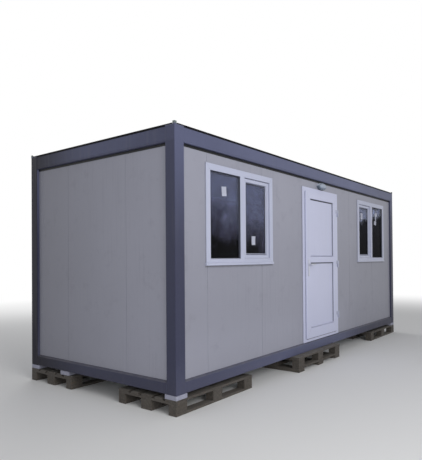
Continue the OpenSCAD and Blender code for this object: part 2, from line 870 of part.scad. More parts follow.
module door_hinges_frame() {
    jamb_y = front(frame_face_d);
    arm = 5;
    color(frame_color)
        for (i = [0 : hinge_count - 1])
            translate([hinge_x, hinge_y, hinge_z(i)]) {
                cylinder(r = knuckle_r, h = lower_knuckle_h, $fn = round_fn);
                cylinder(r = pin_r, h = hinge_h - knuckle_gap, $fn = round_fn);
                translate([-arm, 0, 0])
                    cube([2 * arm, jamb_y - hinge_y, lower_knuckle_h]);
                translate([-arm, jamb_y - hinge_y - arm, 0])
                    cube([door_frame_face - hinge_out - arm, arm, lower_knuckle_h]);
            }
}

module door_hinges_leaf() {
    upper_z = lower_knuckle_h + knuckle_gap;
    plate = 4;
    reach = 45;
    color(frame_color)
        for (i = [0 : hinge_count - 1])
            translate([hinge_x, hinge_y, hinge_z(i) + upper_z])
                difference() {
                    union() {
                        cylinder(r = knuckle_r, h = hinge_h - upper_z, $fn = round_fn);
                        translate([-hinge_out - reach, hinge_front - plate, 0])
                            cube([reach, plate, hinge_h - upper_z]);
                        translate([-hinge_out - plate, -plate, 0])
                            cube([hinge_out + plate, plate, hinge_h - upper_z]);
                        translate([-hinge_out - plate, -plate, 0])
                            cube([plate, hinge_front, hinge_h - upper_z]);
                    }
                    translate([0, 0, -1])
                        cylinder(r = pin_r + pin_clear, h = hinge_h - upper_z + 2, $fn = round_fn);
                }
}

// Lamp: an oval housing with a domed glass
function oval(w, h) =
    [for (i = [0 : round_fn - 1]) [w / 2 * cos(i * 360 / round_fn), h / 2 * sin(i * 360 / round_fn)]];

module lamp_oval(w, h, d0, d1) {
    translate([door_x, front(panel_setback - d0), lamp_z])
        rotate([90, 0, 0])
            linear_extrude(d1 - d0)
                polygon(oval(w, h));
}

module lamp_base() {
    color([0.45, 0.47, 0.50])
        difference() {
            lamp_oval(lamp_w, lamp_h, 0, lamp_base_d);
            lamp_oval(lamp_w - 2 * lamp_rim, lamp_h - 2 * lamp_rim,
                lamp_base_d - lamp_seat, lamp_base_d + 1);
        }
}

// Domed glass: ovals that shrink along a quarter circle, from its seat in the housing to its flat tip
module lamp_lens() {
    w = lamp_w - 2 * lamp_rim;
    h = lamp_h - 2 * lamp_rim;
    tip_angle = 75;
    arc = [for (a = [0 : 15 : tip_angle]) [cos(a), lamp_lens_d * sin(a) / sin(tip_angle)]];
    rings = concat([[1, -lamp_seat]], arc);
    n = round_fn;
    last = len(rings) - 1;
    color([0.86, 0.87, 0.85])
        polyhedron(
            points = [for (r = rings, p = oval(r[0] * w, r[0] * h))
                [door_x + p[0], front(panel_setback - lamp_base_d - r[1]), lamp_z + p[1]]],
            faces = concat(
                [[for (i = [0 : n - 1]) i]],
                [for (k = [0 : last - 1], i = [0 : n - 1])
                    [k * n + (i + 1) % n, k * n + i, (k + 1) * n + i, (k + 1) * n + (i + 1) % n]],
                [[for (i = [n - 1 : -1 : 0]) last * n + i]]
            )
        );
}

// Pallets: five deck boards, three cross boards, nine blocks and three skid boards
module pallet(x, y, z) {
    row_w = [board_wide, board_narrow, board_wide, board_narrow, board_wide];
    skid_w = [board_narrow, board_wide, board_narrow];
    deck_gap = (pallet_w - 3 * board_wide - 2 * board_narrow) / 4;
    deck_y = [0, board_wide + deck_gap, board_wide + board_narrow + 2 * deck_gap,
        2 * board_wide + board_narrow + 3 * deck_gap, pallet_w - board_wide];
    block_x = [0, pallet_l / 2 - board_wide / 2, pallet_l - board_wide];
    skid_y = [0, pallet_w / 2 - board_wide / 2, pallet_w - board_narrow];
    translate([x, y, z])
        union() {
            for (i = [0 : 4])
                translate([0, deck_y[i], pallet_h - board_t])
                    cube([pallet_l, row_w[i], board_t]);
            for (i = [0 : 2]) {
                translate([block_x[i], 0, board_t + block_h])
                    cube([board_wide, pallet_w, board_t]);
                translate([0, skid_y[i], 0])
                    cube([pallet_l, skid_w[i], board_t]);
                for (j = [0 : 2])
                    translate([block_x[i], skid_y[j], board_t])
                        cube([board_wide, skid_w[j], block_h]);
            }
        }
}

// Row of pallets along the front: one at each corner, and one in the middle on three levelling boards
module pallet_row() {
    for (x = [-cabin_l / 2, cabin_l / 2 - pallet_l])
        pallet(x, -cabin_w / 2, 0);
    translate([middle_pallet_x - pallet_l / 2, -cabin_w / 2 - pallet_out, 0]) {
        pallet(0, 0, packer_t);
        for (x = [0, (pallet_l - board_wide) / 2, pallet_l - board_wide])
            translate([x, 0, 0])
                cube([board_wide, pallet_w, packer_t]);
    }
}

module front_pallets() {
    color(wood_color)
        pallet_row();
}

module rear_pallets() {
    color(wood_color)
        mirror([0, 1, 0])
            pallet_row();
}

// Packers between the corner posts and their pallets, and one under the left floor rail
module corner_packers() {
    color([0.66, 0.67, 0.68]) {
        for (side_x = [-1, 1], side_y = [-1, 1])
            at_corner(side_x, side_y)
                translate([0, 0, pallet_h])
                    cube([packer_w, packer_w, packer_t]);
        at_corner(-1, 1)
            translate([0, rail_packer_from_rear, pallet_h])
                cube([packer_w, packer_w, packer_t]);
    }
}

corner_post(-1, -1);  // post_front_left
corner_post(1, -1);  // post_front_right
corner_post(-1, 1);  // post_rear_left
corner_post(1, 1);  // post_rear_right
floor_rail_long(-1);  // floor_rail_front
floor_rail_long(1);  // floor_rail_rear
floor_rail_short(-1);  // floor_rail_left
floor_rail_short(1);  // floor_rail_right
floor_joists();
floor_pan();
floor_deck();
roof_beam_long(-1);  // roof_beam_front
roof_beam_long(1);  // roof_beam_rear
roof_beam_short(-1);  // roof_beam_left
roof_beam_short(1);  // roof_beam_right
roof_purlins();
roof_sheet();
roof_edge_strip();
roof_corner_caps();
ceiling_panel();
wall_head_seal();
front_wall_left();
front_wall_right();
front_wall_over_door();
rear_wall();
end_wall(-1);  // end_wall_left
end_wall(1);  // end_wall_right
window_frame(-1);  // left_window_frame
window_sash(-1);  // left_window_sash
window_glass(-1);  // left_window_glass
window_frame(1);  // right_window_frame
window_sash(1);  // right_window_sash
window_glass(1);  // right_window_glass
window_handles();
door_frame();
door_leaf();
door_panels();
door_handle();
door_hinges_frame();
door_hinges_leaf();
lamp_base();
lamp_lens();
front_pallets();
rear_pallets();
corner_packers();
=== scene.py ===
# Looks of a portable site cabin: finishes, glazing, seals, fixings, timber supports, light and camera
import math
from collections import namedtuple

import bmesh
import bpy
from mathutils import Matrix, Vector


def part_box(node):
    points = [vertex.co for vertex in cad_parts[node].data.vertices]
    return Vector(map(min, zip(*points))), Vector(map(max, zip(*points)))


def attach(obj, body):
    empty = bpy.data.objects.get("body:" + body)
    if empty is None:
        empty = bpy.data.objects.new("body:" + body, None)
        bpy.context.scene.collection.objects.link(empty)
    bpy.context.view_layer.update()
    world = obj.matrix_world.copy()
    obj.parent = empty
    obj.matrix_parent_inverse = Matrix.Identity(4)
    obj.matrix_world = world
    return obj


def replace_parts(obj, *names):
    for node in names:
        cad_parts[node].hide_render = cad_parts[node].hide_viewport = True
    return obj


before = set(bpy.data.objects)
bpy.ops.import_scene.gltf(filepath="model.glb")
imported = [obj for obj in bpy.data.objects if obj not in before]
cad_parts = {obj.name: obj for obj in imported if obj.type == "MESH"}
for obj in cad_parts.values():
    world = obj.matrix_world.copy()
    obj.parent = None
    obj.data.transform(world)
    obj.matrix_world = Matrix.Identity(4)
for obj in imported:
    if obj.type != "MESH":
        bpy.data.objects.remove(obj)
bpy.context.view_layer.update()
scene = bpy.context.scene

# Picture size, and the camera that was fitted to the cabin's edges, in pixels, metres and radians
PICTURE_W = 422
PICTURE_H = 460
FOCAL_PX = 471.656
CENTRE_PX = (241.087, 254.581)
CAMERA_PLACE = (-6.113, -4.213, 1.432)
CAMERA_YAW = 0.9401
CAMERA_PITCH = 0.0097
CAMERA_ROLL = 0.0079
SENSOR_MM = 36.0

# Name, place, target, size in metres and power in watts of each soft light
SOFT_LIGHTS = (
    ("key", (-4.6, -8.6, 4.6), (-0.6, -1.2, 1.2), 4.5, 385.0),
    ("near_fill", (-8.0, -5.5, 1.7), (-3.0, -1.3, 1.1), 3.0, 104.0),
    ("back_fill", (4.0, 9.0, 5.0), (0.0, 1.0, 1.2), 5.0, 260.0))
WORLD_LEVEL = 0.39

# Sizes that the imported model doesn't give, in metres, from here to the pallets
# Glazing
CLEARANCE = 0.001
GLASS_SEAT = 0.008
PANE_T = 0.004
PANE_EDGE = 0.0006
# The spacer is wider than a real one, so that its dark edge also stands as painted shade at the glass's edges
SPACER_W = 0.020
WEDGE_T = 0.0012
WEDGE_BACK = 0.004
BEAD_SLOPE_W = 0.008
GASKET_R = 0.0024
GASKET_OFF_PANE = 0.6 * GASKET_R
GASKET_CORNER = 0.003
SEALANT_R = 0.0032

# Windows
WINDOW_X = 1.925
FRAME_BAR = 0.066
SASH_BAR = 0.045
SASH_OVERLAP = 0.010
SASH_GAP = 0.005
SASH_GAP_IN = 0.010
SASH_GAP_DEPTH = 0.004
SASH_GAP_SIDE_ROOM = 0.0005
SASH_GAP_HEAD_ROOM = 0.0003
SASH_BEAD_H = 0.012
WEATHER_BAR_H = 0.014
SILL_H = 0.028
SILL_PROUD = 0.009
SILL_OVERHANG = 0.008
DRAIN_CAP_W = 0.026
DRAIN_CAP_H = 0.009
DRAIN_CAP_T = 0.003
DRAIN_CAP_LIFT = 0.008
DRAIN_CAP_EDGE = 0.002
DRAIN_CAP_SHARES = (0.25, 0.75)

# Door
DOOR_FRAME_BAR = 0.055
STILE_W = 0.130
DRIP_BEAD_H = 0.009
# Black strip under the top bar of each door panel: painted shadow
HEAD_SHADE_STRIP_H = 0.008
HEAD_SHADE_STRIP_T = 0.005
SEAL_R = 0.0019
LEAF_LIP_T = 0.013
LEAF_SEAL_GAP = 0.0002
LEAF_SEAL_IN = 0.004
FOOT_SEAL_IN = 0.020
FOOT_SEAL_T = 0.002
FOOT_SEAL_DOWN = 0.0095
FOOT_SEAL_UP = 0.0018

# Walls and steel frame
PANEL_MODULE = 0.980
FRONT_LEFT_JOINT = -0.555
FRONT_RIGHT_JOINT = 0.980
STRIP_W = 0.090
RIVET_COUNT = 6
RIVET_END = 0.120
POST_W = 0.126
RAIL_FACE_H = 0.103
BAR_SETBACK = 0.002
BEAM_BEND = 0.006
WELD_R = 0.0048
WELD_IN = 0.0028
WELD_STEP = 0.006

# Roof and lamp
RIB_COUNT = 9
TRIM_LIP_H = 0.006
TRIM_LIP_RISE = 0.012
TRIM_LIP_IN = 0.0004
TRIM_LIP_EDGE = 0.0004
CAP_PAINT_TOP = 2.686
LAMP_RIB_STEP = 0.011

# Pallets
PALLET_BOARD_T = 0.022
PALLET_BLOCK_H = 0.078
PALLET_H = 3 * PALLET_BOARD_T + PALLET_BLOCK_H
PALLET_WIDE = 0.145
PALLET_NARROW = 0.100

# Stickers: thickness, distance from the pane, and lift of the loose corner and of the torn tail, in metres
PAPER_T = 0.0003
PAPER_OFF_PANE = 0.0004
PAPER_CURL = 0.004
TAIL_OFF_PANE = 0.0006
TAIL_CURL = 0.003

# Stickers, in shares of their sides: where the curl starts, its length squared, the tail's width and slant
CURL_START = 0.55
CURL_LENGTH_SQUARED = 0.2
TAIL_WIDTH = 0.42
TAIL_SLANT = 0.22

# Rounding of edges, in metres
THIN_EDGE = 0.0005
STEEL_EDGE = 0.0008
BAR_EDGE = 0.0008
SOFT_EDGE = 0.001
HANDLE_EDGE = 0.0012
PROFILE_EDGE = 0.0015
LAMP_EDGE = 0.002
PALLET_EDGE = 0.0025
LEVELLING_EDGE = 0.003
PACKER_EDGE = 0.005

# How near two vertices are when they merge: in a dressed node, in a search for its solids, in a joined mesh
NODE_MERGE = 0.00002
SOLID_MERGE = 0.00001
JOINED_MERGE = 0.000001

# Seeds of the timber: how many each pallet takes, and the first of the levelling boards and of the packers
SEEDS_PER_PALLET = 17
LEVELLING_SEED = 40
PACKER_SEED = 60

QUARTER = math.pi / 2
WHITE = (1.0, 1.0, 1.0, 1.0)
SIDES = ("front", "rear", "left", "right")

Box = namedtuple("Box", "x0 x1 y0 y1 z0 z1")


def box_of(points):
    """Box round a list of points"""
    low = [min(p[i] for p in points) for i in range(3)]
    high = [max(p[i] for p in points) for i in range(3)]
    return Box(low[0], high[0], low[1], high[1], low[2], high[2])


def node_box(node):
    """Box of a CAD node"""
    return box_of(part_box(node))


def solids(node):
    """Boxes of the separate solids of a CAD node, from left to right"""
    bm = bmesh.new()
    bm.from_mesh(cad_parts[node].data)
    bmesh.ops.remove_doubles(bm, verts=bm.verts, dist=SOLID_MERGE)
    unseen = set(bm.verts)
    boxes = []
    while unseen:
        todo = [unseen.pop()]
        found = []
        while todo:
            vert = todo.pop()
            found.append(vert.co.copy())
            for edge in vert.link_edges:
                other = edge.other_vert(vert)
                if other in unseen:
                    unseen.remove(other)
                    todo.append(other)
        boxes.append(box_of(found))
    bm.free()
    return sorted(boxes)


def middle(box):
    """Middle of a box"""
    return Vector(((box.x0 + box.x1) / 2, (box.y0 + box.y1) / 2, (box.z0 + box.z1) / 2))


def span(box):
    """Length, depth and height of a box"""
    return box.x1 - box.x0, box.y1 - box.y0, box.z1 - box.z0


def grown(box, x=0.0, y=0.0, z=0.0):
    """Box made larger by a margin on both sides of each direction"""
    return Box(box.x0 - x, box.x1 + x, box.y0 - y, box.y1 + y, box.z0 - z, box.z1 + z)


def paint(red, green, blue):
    """Linear colour of a paint given in 0 to 255"""
    return tuple(((c / 255 + 0.055) / 1.055) ** 2.4 for c in (red, green, blue)) + (1.0,)


# Node trees
class Graph:
    """A node tree, with short ways to add nodes and feed their sockets"""

    def __init__(self, tree):
        self.tree = tree

    def put(self, socket, value):
        """Feeds a socket from another socket, or with a plain value"""
        if isinstance(value, bpy.types.NodeSocket):
            self.tree.links.new(value, socket)
        else:
            socket.default_value = value

    def add(self, kind, inputs=None, **settings):
        """New node with its settings and its fed sockets"""
        node = self.tree.nodes.new(kind)
        for name, value in settings.items():
            setattr(node, name, value)
        for key, value in (inputs or {}).items():
            self.put(node.inputs[key], value)
        return node

    def first(self, kind, inputs=None, **settings):
        """First output of a new node"""
        return self.add(kind, inputs, **settings).outputs[0]

    def use(self, group, **inputs):
        """Outputs of a shader group; the inputs' names have a low line for each space"""
        node = self.add("ShaderNodeGroup", node_tree=group)
        for name, value in inputs.items():
            self.put(node.inputs[name.replace("_", " ")], value)
        return node.outputs

    def math(self, operation, value, *others, clamp=False):
        """Result of an operation on one value, or on a value and each other one in turn"""
        if not others:
            return self.first("ShaderNodeMath", {0: value}, operation=operation)
        for other in others:
            value = self.first("ShaderNodeMath", {0: value, 1: other}, operation=operation, use_clamp=clamp)
        return value

    def times(self, *values):
        return self.math("MULTIPLY", *values)

    def plus(self, *values, clamp=False):
        return self.math("ADD", *values, clamp=clamp)

    def minus(self, *values, clamp=False):
        return self.math("SUBTRACT", *values, clamp=clamp)

    def most(self, *values):
        return self.math("MAXIMUM", *values)

    def vector(self, operation, a, b):
        return self.first("ShaderNodeVectorMath", {0: a, 1: b}, operation=operation)

    def scaled(self, vector, factor):
        return self.first("ShaderNodeVectorMath", {0: vector, "Scale": factor}, operation="SCALE")

    def step(self, value, low, high, start=0.0, end=1.0):
        """Smooth change from start to end while a value goes from low to high"""
        inputs = {0: value, 1: low, 2: high, 3: start, 4: end}
        return self.first("ShaderNodeMapRange", inputs, interpolation_type="SMOOTHSTEP")

    def mix(self, factor, a, b):
        return self.add("ShaderNodeMix", {0: factor, 6: a, 7: b}, data_type="RGBA").outputs[2]

    def vary(self, colour, tone, amount):
        """Colour made lighter or darker by a tone that is about one half on average"""
        inputs = {0: tone, 1: 2 * amount, 2: 1 - amount}
        source = colour if isinstance(colour, bpy.types.NodeSocket) else colour[:3]
        return self.scaled(source, self.first("ShaderNodeMath", inputs, operation="MULTIPLY_ADD"))

    def place(self):
        return self.add("ShaderNodeTexCoord").outputs["Object"]

    def place_in(self, size):
        """Place counted in units of a size"""
        return self.scaled(self.place(), self.math("DIVIDE", 1.0, size))

    def normal(self):
        return self.add("ShaderNodeNewGeometry").outputs["Normal"]

    def parts(self, vector):
        return self.add("ShaderNodeSeparateXYZ", {0: vector}).outputs

    def noise(self, vector, scale, detail=2.0, roughness=0.5, distortion=0.0):
        inputs = {"Vector": vector, "Scale": scale, "Detail": detail, "Roughness": roughness,
                  "Distortion": distortion}
        return self.add("ShaderNodeTexNoise", inputs).outputs["Fac"]


def shader_group(name, inputs, outputs=("Mask",)):
    """Shader group with inputs and their defaults, and number outputs: its graph, inputs and outputs"""
    tree = bpy.data.node_groups.new(name, "ShaderNodeTree")
    for label, value in inputs.items():
        kind = "NodeSocketVector" if isinstance(value, tuple) else "NodeSocketFloat"
        tree.interface.new_socket(label, in_out="INPUT", socket_type=kind).default_value = value
    for label in outputs:
        tree.interface.new_socket(label, in_out="OUTPUT", socket_type="NodeSocketFloat")
    graph = Graph(tree)
    return graph, graph.add("NodeGroupInput").outputs, graph.add("NodeGroupOutput").inputs


def mottle_group():
    """Uneven tone"""
    graph, given, result = shader_group("mottle", {"Size": 0.4, "Detail": 3.0}, ["Tone"])
    graph.put(result["Tone"], graph.noise(graph.place_in(given["Size"]), 1.0, given["Detail"], 0.6))
    return graph.tree


def rain_streak_group():
    """Streaks that run down upright faces"""
    graph, given, result = shader_group("rain_streaks", {"Width": 0.03, "Length": 0.7, "Amount": 0.5})
    place = graph.place()
    x, y, z = graph.parts(place)
    across = graph.math("DIVIDE", graph.plus(x, y), given["Width"])
    down = graph.math("DIVIDE", z, given["Length"])
    lines = graph.first("ShaderNodeCombineXYZ", {0: across, 2: down})
    streaks = graph.step(graph.noise(lines, 1.0, 3.0, 0.55), 0.48, 0.74)
    breaks = graph.step(graph.noise(place, 1.1, 2.0), 0.36, 0.66)
    upright = graph.minus(1.0, graph.math("ABSOLUTE", graph.parts(graph.normal())[2]), clamp=True)
    graph.put(result["Mask"], graph.times(streaks, breaks, upright, given["Amount"]))
    return graph.tree


def ground_dirt_group():
    """Splashed dirt that fades with height"""
    graph, given, result = shader_group("ground_dirt", {"Low": 0.2, "High": 0.7, "Amount": 0.5})
    place = graph.place()
    height = graph.plus(graph.parts(place)[2], graph.times(graph.noise(place, 3.0, 4.0), 0.2))
    fade = graph.step(height, given["Low"], given["High"], 1.0, 0.0)
    specks = graph.step(graph.noise(place, 45.0, 4.0, 0.7), 0.35, 0.7, 0.35, 1.0)
    graph.put(result["Mask"], graph.times(fade, specks, given["Amount"]))
    return graph.tree


def settled_dust_group():
    """Dust and droppings on faces that look up"""
    graph, given, result = shader_group("settled_dust", {"Amount": 0.6})
    up = graph.step(graph.parts(graph.normal())[2], 0.25, 0.9)
    patches = graph.step(graph.noise(graph.place(), 9.0, 5.0, 0.65), 0.3, 0.7, 0.3, 1.0)
    graph.put(result["Mask"], graph.times(up, patches, given["Amount"]))
    return graph.tree


def scuff_group():
    """Scattered small chips and scratches"""
    graph, given, result = shader_group("scuffs", {"Size": 0.01, "Spread": 0.62, "Amount": 1.0})
    fine = graph.noise(graph.place_in(given["Size"]), 1.0, 3.0, 0.6, 0.4)
    coarse = graph.noise(graph.place(), 2.3, 3.0)
    edge = graph.plus(given["Spread"], 0.03)
    chips = graph.step(graph.times(fine, graph.plus(coarse, 0.5)), given["Spread"], edge)
    graph.put(result["Mask"], graph.times(chips, given["Amount"]))
    return graph.tree


def skin_group():
    """Height of a coated surface: fine orange peel on long shallow waves"""
    graph, given, result = shader_group("skin", {"Peel": 0.004, "Wave": 0.5, "Share": 0.25}, ["Height"])
    peel = graph.noise(graph.place_in(given["Peel"]), 1.0, 2.0)
    wave = graph.noise(graph.place_in(given["Wave"]), 1.0, 1.0)
    graph.put(result["Height"], graph.plus(wave, graph.times(peel, given["Share"])))
    return graph.tree


def panel_tone_group():
    """Own tone of each panel between two joints along a wall"""
    graph, given, result = shader_group("panel_tone", {"Along": 0.0, "Start": 0.0, "Width": 1.0}, ["Tone"])
    cell = graph.math("DIVIDE", graph.minus(given["Along"], given["Start"]), given["Width"])
    white = graph.add("ShaderNodeTexWhiteNoise", {"W": graph.math("FLOOR", cell)}, noise_dimensions="1D")
    graph.put(result["Tone"], white.outputs["Value"])
    return graph.tree


def sill_shadow_group():
    """Painted shadow band on the wall below a sill, given by its ends and its underside"""
    graph, given, result = shader_group(
        "painted_sill_shadow", {"Left": 0.0, "Right": 1.0, "Top": 1.0, "Depth": 0.03, "Amount": 0.5})
    place = graph.place()
    x, _, z = graph.parts(place)
    below = graph.math("DIVIDE", graph.minus(given["Top"], z), given["Depth"])
    ragged = graph.plus(below, graph.times(graph.noise(place, 14.0, 4.0), 0.5))
    fade = graph.times(graph.step(ragged, 0.5, 1.3, 1.0, 0.0), graph.math("GREATER_THAN", below, -0.2))
    right_of = graph.math("GREATER_THAN", x, given["Left"])
    left_of = graph.math("LESS_THAN", x, given["Right"])
    graph.put(result["Mask"], graph.times(fade, graph.times(right_of, left_of), given["Amount"]))
    return graph.tree


def mitre_group():
    """Thin diagonal lines at the welded corners of a bar frame that lies in X and Z"""
    names = {"Left": 0.0, "Right": 1.0, "Bottom": 0.0, "Top": 1.0, "Bar": 0.07, "Line": 0.0012}
    graph, given, result = shader_group("mitre", names)
    x, _, z = graph.parts(graph.place())
    side = graph.math("MINIMUM", graph.minus(x, given["Left"]), graph.minus(given["Right"], x))
    end = graph.math("MINIMUM", graph.minus(z, given["Bottom"]), graph.minus(given["Top"], z))
    off = graph.math("ABSOLUTE", graph.minus(side, end))
    line = graph.step(off, graph.times(given["Line"], 0.4), given["Line"], 1.0, 0.0)
    within = graph.math("LESS_THAN", graph.most(side, end), given["Bar"])
    graph.put(result["Mask"], graph.times(line, within))
    return graph.tree


def spangle_group():
    """Crystal pattern of zinc"""
    graph, given, result = shader_group("zinc_spangle", {"Size": 0.02}, ["Tone", "Edge"])
    place = graph.place_in(given["Size"])
    warp = graph.add("ShaderNodeTexNoise", {"Vector": place, "Scale": 0.8}).outputs["Color"]
    bent = graph.vector("ADD", place, warp)
    cells = graph.add("ShaderNodeTexVoronoi", {"Vector": bent, "Scale": 1.0}).outputs
    graph.put(result["Tone"], graph.parts(cells["Color"])[0])
    graph.put(result["Edge"], cells["Distance"])
    return graph.tree


def wood_group():
    """Sawn, weathered wood: the stretch is large across the grain and small along it"""
    graph, given, result = shader_group("wood", {"Stretch": (3.0, 70.0, 70.0)}, ["Tone", "Crack", "Knot"])
    place = graph.place()
    fibres = graph.vector("MULTIPLY", place, given["Stretch"])
    crack = graph.noise(graph.scaled(fibres, 0.45), 1.0, 3.0, 0.5, 0.3)
    knot_place = graph.vector("MULTIPLY", place, graph.scaled(given["Stretch"], 0.16))
    distance = graph.add("ShaderNodeTexVoronoi", {"Vector": knot_place, "Scale": 1.0}).outputs["Distance"]
    graph.put(result["Tone"], graph.noise(fibres, 1.0, 6.0, 0.68, 0.6))
    graph.put(result["Crack"], graph.step(crack, 0.30, 0.37, 1.0, 0.0))
    graph.put(result["Knot"], graph.step(distance, 0.08, 0.16, 1.0, 0.0))
    return graph.tree


MOTTLE = mottle_group()
RAIN = rain_streak_group()
DIRT = ground_dirt_group()
DUST = settled_dust_group()
SCUFFS = scuff_group()
SKIN = skin_group()
PANEL_TONE = panel_tone_group()
SILL_SHADOW = sill_shadow_group()
MITRE = mitre_group()
SPANGLE = spangle_group()
WOOD = wood_group()

DUST_COLOUR = paint(150, 147, 142)
EARTH_COLOUR = paint(112, 104, 95)
RUST_COLOUR = paint(104, 70, 52)
# Grey of rain grime and mitre lines, also used as painted shade on the walls
GRIME_AND_SHADE_COLOUR = paint(74, 74, 78)
WINDOW_WHITE = paint(175, 179, 200)
DOOR_WHITE = paint(190, 193, 217)


# Materials
class Finish(Graph):
    """Graph of a new material, whose plain Principled sockets are set by name"""

    def __init__(self, name, **plain):
        self.material = bpy.data.materials.new(name)
        self.material.use_nodes = True
        super().__init__(self.material.node_tree)
        self.shader = self.tree.nodes["Principled BSDF"].inputs
        for label, value in plain.items():
            self.shader[label.replace("_", " ")].default_value = value

    def mottle(self, size, detail=3.0):
        """Uneven tone whose patches have this size in metres"""
        return self.use(MOTTLE, Size=size, Detail=detail)["Tone"]

    def skin(self, peel, wave, share):
        """Relief of a coated surface, with a share of fine peel on its long waves"""
        return self.use(SKIN, Peel=peel, Wave=wave, Share=share)["Height"]

    def weathered(self, colour, streak, splash, dust):
        """Colour under rain streaks, splashed dirt and settled dust, and how much of it they cover"""
        rain = self.use(RAIN, Width=0.028, Length=0.8, Amount=streak)["Mask"]
        dirt = self.use(DIRT, Low=0.12, High=0.75, Amount=splash)["Mask"]
        settled = self.use(DUST, Amount=dust)["Mask"]
        for mask, tint in ((rain, GRIME_AND_SHADE_COLOUR), (dirt, EARTH_COLOUR), (settled, DUST_COLOUR)):
            colour = self.mix(mask, colour, tint)
        return colour, self.plus(self.plus(rain, dirt), settled, clamp=True)

    def surface(self, colour, roughness, height=None, depth=0.0):
        """Material with this colour and roughness, and a relief from a height map and its depth in metres"""
        self.put(self.shader["Base Color"], colour)
        self.put(self.shader["Roughness"], roughness)
        if height is not None:
            bump = self.first("ShaderNodeBump", {"Strength": 1.0, "Distance": depth, "Height": height})
            self.put(self.shader["Normal"], bump)
        return self.material


def steel_paint():
    """Blue-grey coat on the pressed steel frame"""
    coat = Finish("blue_grey_steel_paint", Specular_IOR_Level=0.16)
    x, y, z = coat.parts(coat.place())
    nx, ny, _ = coat.parts(coat.normal())
    front = coat.step(ny, -0.9, -0.1, 1.0, 0.0)
    side = coat.step(nx, -0.8, -0.2, 0.6, 0.1)
    # Painted highlight: lighter towards the top of the posts, on the beams and along the middle of the front
    # rail, most on faces that look to the front, and less towards the far right
    rising = coat.times(coat.step(z, 1.4, 2.6), coat.most(front, 0.2), 0.72)
    beam_front = coat.times(coat.step(x, -3.0, -1.4, 0.62, 1.0), front)
    beam_side = coat.times(coat.step(y, -1.2, -0.3, 0.55, 1.1), side)
    beams = coat.times(coat.step(z, 2.50, 2.56), coat.most(beam_front, beam_side))
    middle_rail = coat.times(coat.step(x, -2.9, -0.8, 0.2, 0.8), coat.step(x, -0.2, 1.8, 1.0, 0.0))
    rails = coat.times(coat.step(z, 0.25, 0.6, 1.0, 0.0), coat.times(middle_rail, front))
    painted_highlight = coat.most(rising, coat.most(beams, rails))
    painted_highlight = coat.times(painted_highlight, coat.step(x, 1.0, 2.6, 1.0, 0.75))
    pale = coat.mix(coat.step(x, -1.0, 1.0), paint(90, 94, 121), paint(98, 103, 132))
    colour = coat.mix(painted_highlight, paint(60, 62, 82), pale)
    # Painted shade: darker towards the rear on faces that look left, and under the beam towards the right of
    # the front
    rear_left_shade = coat.times(coat.step(y, 0.0, 1.25), coat.step(nx, -0.8, -0.2, 1.0, 0.0))
    under_beam_shade = coat.times(coat.step(x, 0.4, 2.6, 0.0, 0.28), coat.step(z, 2.25, 2.45, 1.0, 0.0), front)
    colour = coat.mix(coat.most(rear_left_shade, under_beam_shade), colour, paint(12, 13, 30))
    colour = coat.vary(coat.vary(colour, coat.mottle(0.55), 0.09), coat.mottle(0.03, 5.0), 0.07)
    colour = coat.mix(coat.use(RAIN, Width=0.05, Length=1.1, Amount=0.06)["Mask"], colour, DUST_COLOUR)
    colour, cover = coat.weathered(colour, 0.14, 0.10, 0.18)
    chips = coat.use(SCUFFS, Size=0.012, Spread=0.80, Amount=0.75)["Mask"]
    rough = coat.step(coat.plus(cover, chips), 0.0, 1.0, 0.42, 0.8)
    return coat.surface(coat.mix(chips, colour, RUST_COLOUR), rough, coat.skin(0.004, 0.35, 0.05), 0.0012)


def cap_coat():
    """Painted corner plate under a dull zinc corner block"""
    coat = Finish("painted_plate_and_zinc_block", Specular_IOR_Level=0.3)
    place = coat.place()
    height = coat.plus(coat.parts(place)[2], coat.times(coat.noise(place, 90.0), 0.004))
    bare = coat.step(height, CAP_PAINT_TOP, CAP_PAINT_TOP + 0.003)
    colour = coat.mix(bare, paint(82, 85, 105), paint(108, 116, 115))
    colour, cover = coat.weathered(coat.vary(colour, coat.mottle(0.02, 5.0), 0.2), 0.1, 0.0, 0.2)
    return coat.surface(colour, coat.step(cover, 0.0, 1.0, 0.5, 0.8), coat.skin(0.004, 0.1, 0.1), 0.001)


def panel_coat(name, axis, start, sill=None):
    """Light grey coat on the panels of one wall, whose joints count from a start along an axis"""
    coat = Finish(name, Specular_IOR_Level=0.3)
    place = coat.parts(coat.place())
    along = place["XYZ".index(axis)]
    own = coat.use(PANEL_TONE, Along=along, Start=start, Width=PANEL_MODULE)["Tone"]
    colour = coat.vary(paint(149, 150, 163), own, 0.003 if axis == "Y" else 0.008)
    colour = coat.vary(colour, coat.mottle(0.8, 4.0), 0.07)
    stains = coat.step(coat.mottle(0.16, 5.0), 0.55, 0.75)
    colour = coat.mix(coat.times(stains, 0.10), colour, GRIME_AND_SHADE_COLOUR)
    # Painted shade: the end walls darker towards the rear, the long walls darker near their left end, at
    # middle heights, and lower down towards the right
    if axis == "Y":
        colour = coat.mix(coat.step(along, -1.1, 1.5, 0.0, 0.38), colour, GRIME_AND_SHADE_COLOUR)
    if axis == "X":
        corner = coat.step(along, -2.7, -0.6, 0.07, 0.0)
        mid_height_shade = coat.step(place["Z"], 0.45, 0.95, 0.0, 0.10)
        shaded = coat.step(along, 0.4, 1.4, 0.0, 0.18)
        lower = coat.times(coat.step(place["Z"], 1.25, 2.3, 1.0, 0.0), coat.most(mid_height_shade, shaded))
        colour = coat.mix(coat.plus(corner, lower), colour, GRIME_AND_SHADE_COLOUR)
    # Painted shadow on the wall under the window's sill
    if sill:
        under_sill_shadow = coat.use(SILL_SHADOW, Left=sill.x0, Right=sill.x1, Top=sill.z0, Depth=0.03, Amount=0.5)["Mask"]
        colour = coat.mix(under_sill_shadow, colour, GRIME_AND_SHADE_COLOUR)
    colour, cover = coat.weathered(colour, 0.10, 0.08, 0.3)
    return coat.surface(colour, coat.step(cover, 0.0, 1.0, 0.45, 0.75), coat.skin(0.003, 0.6, 0.02), 0.0025)


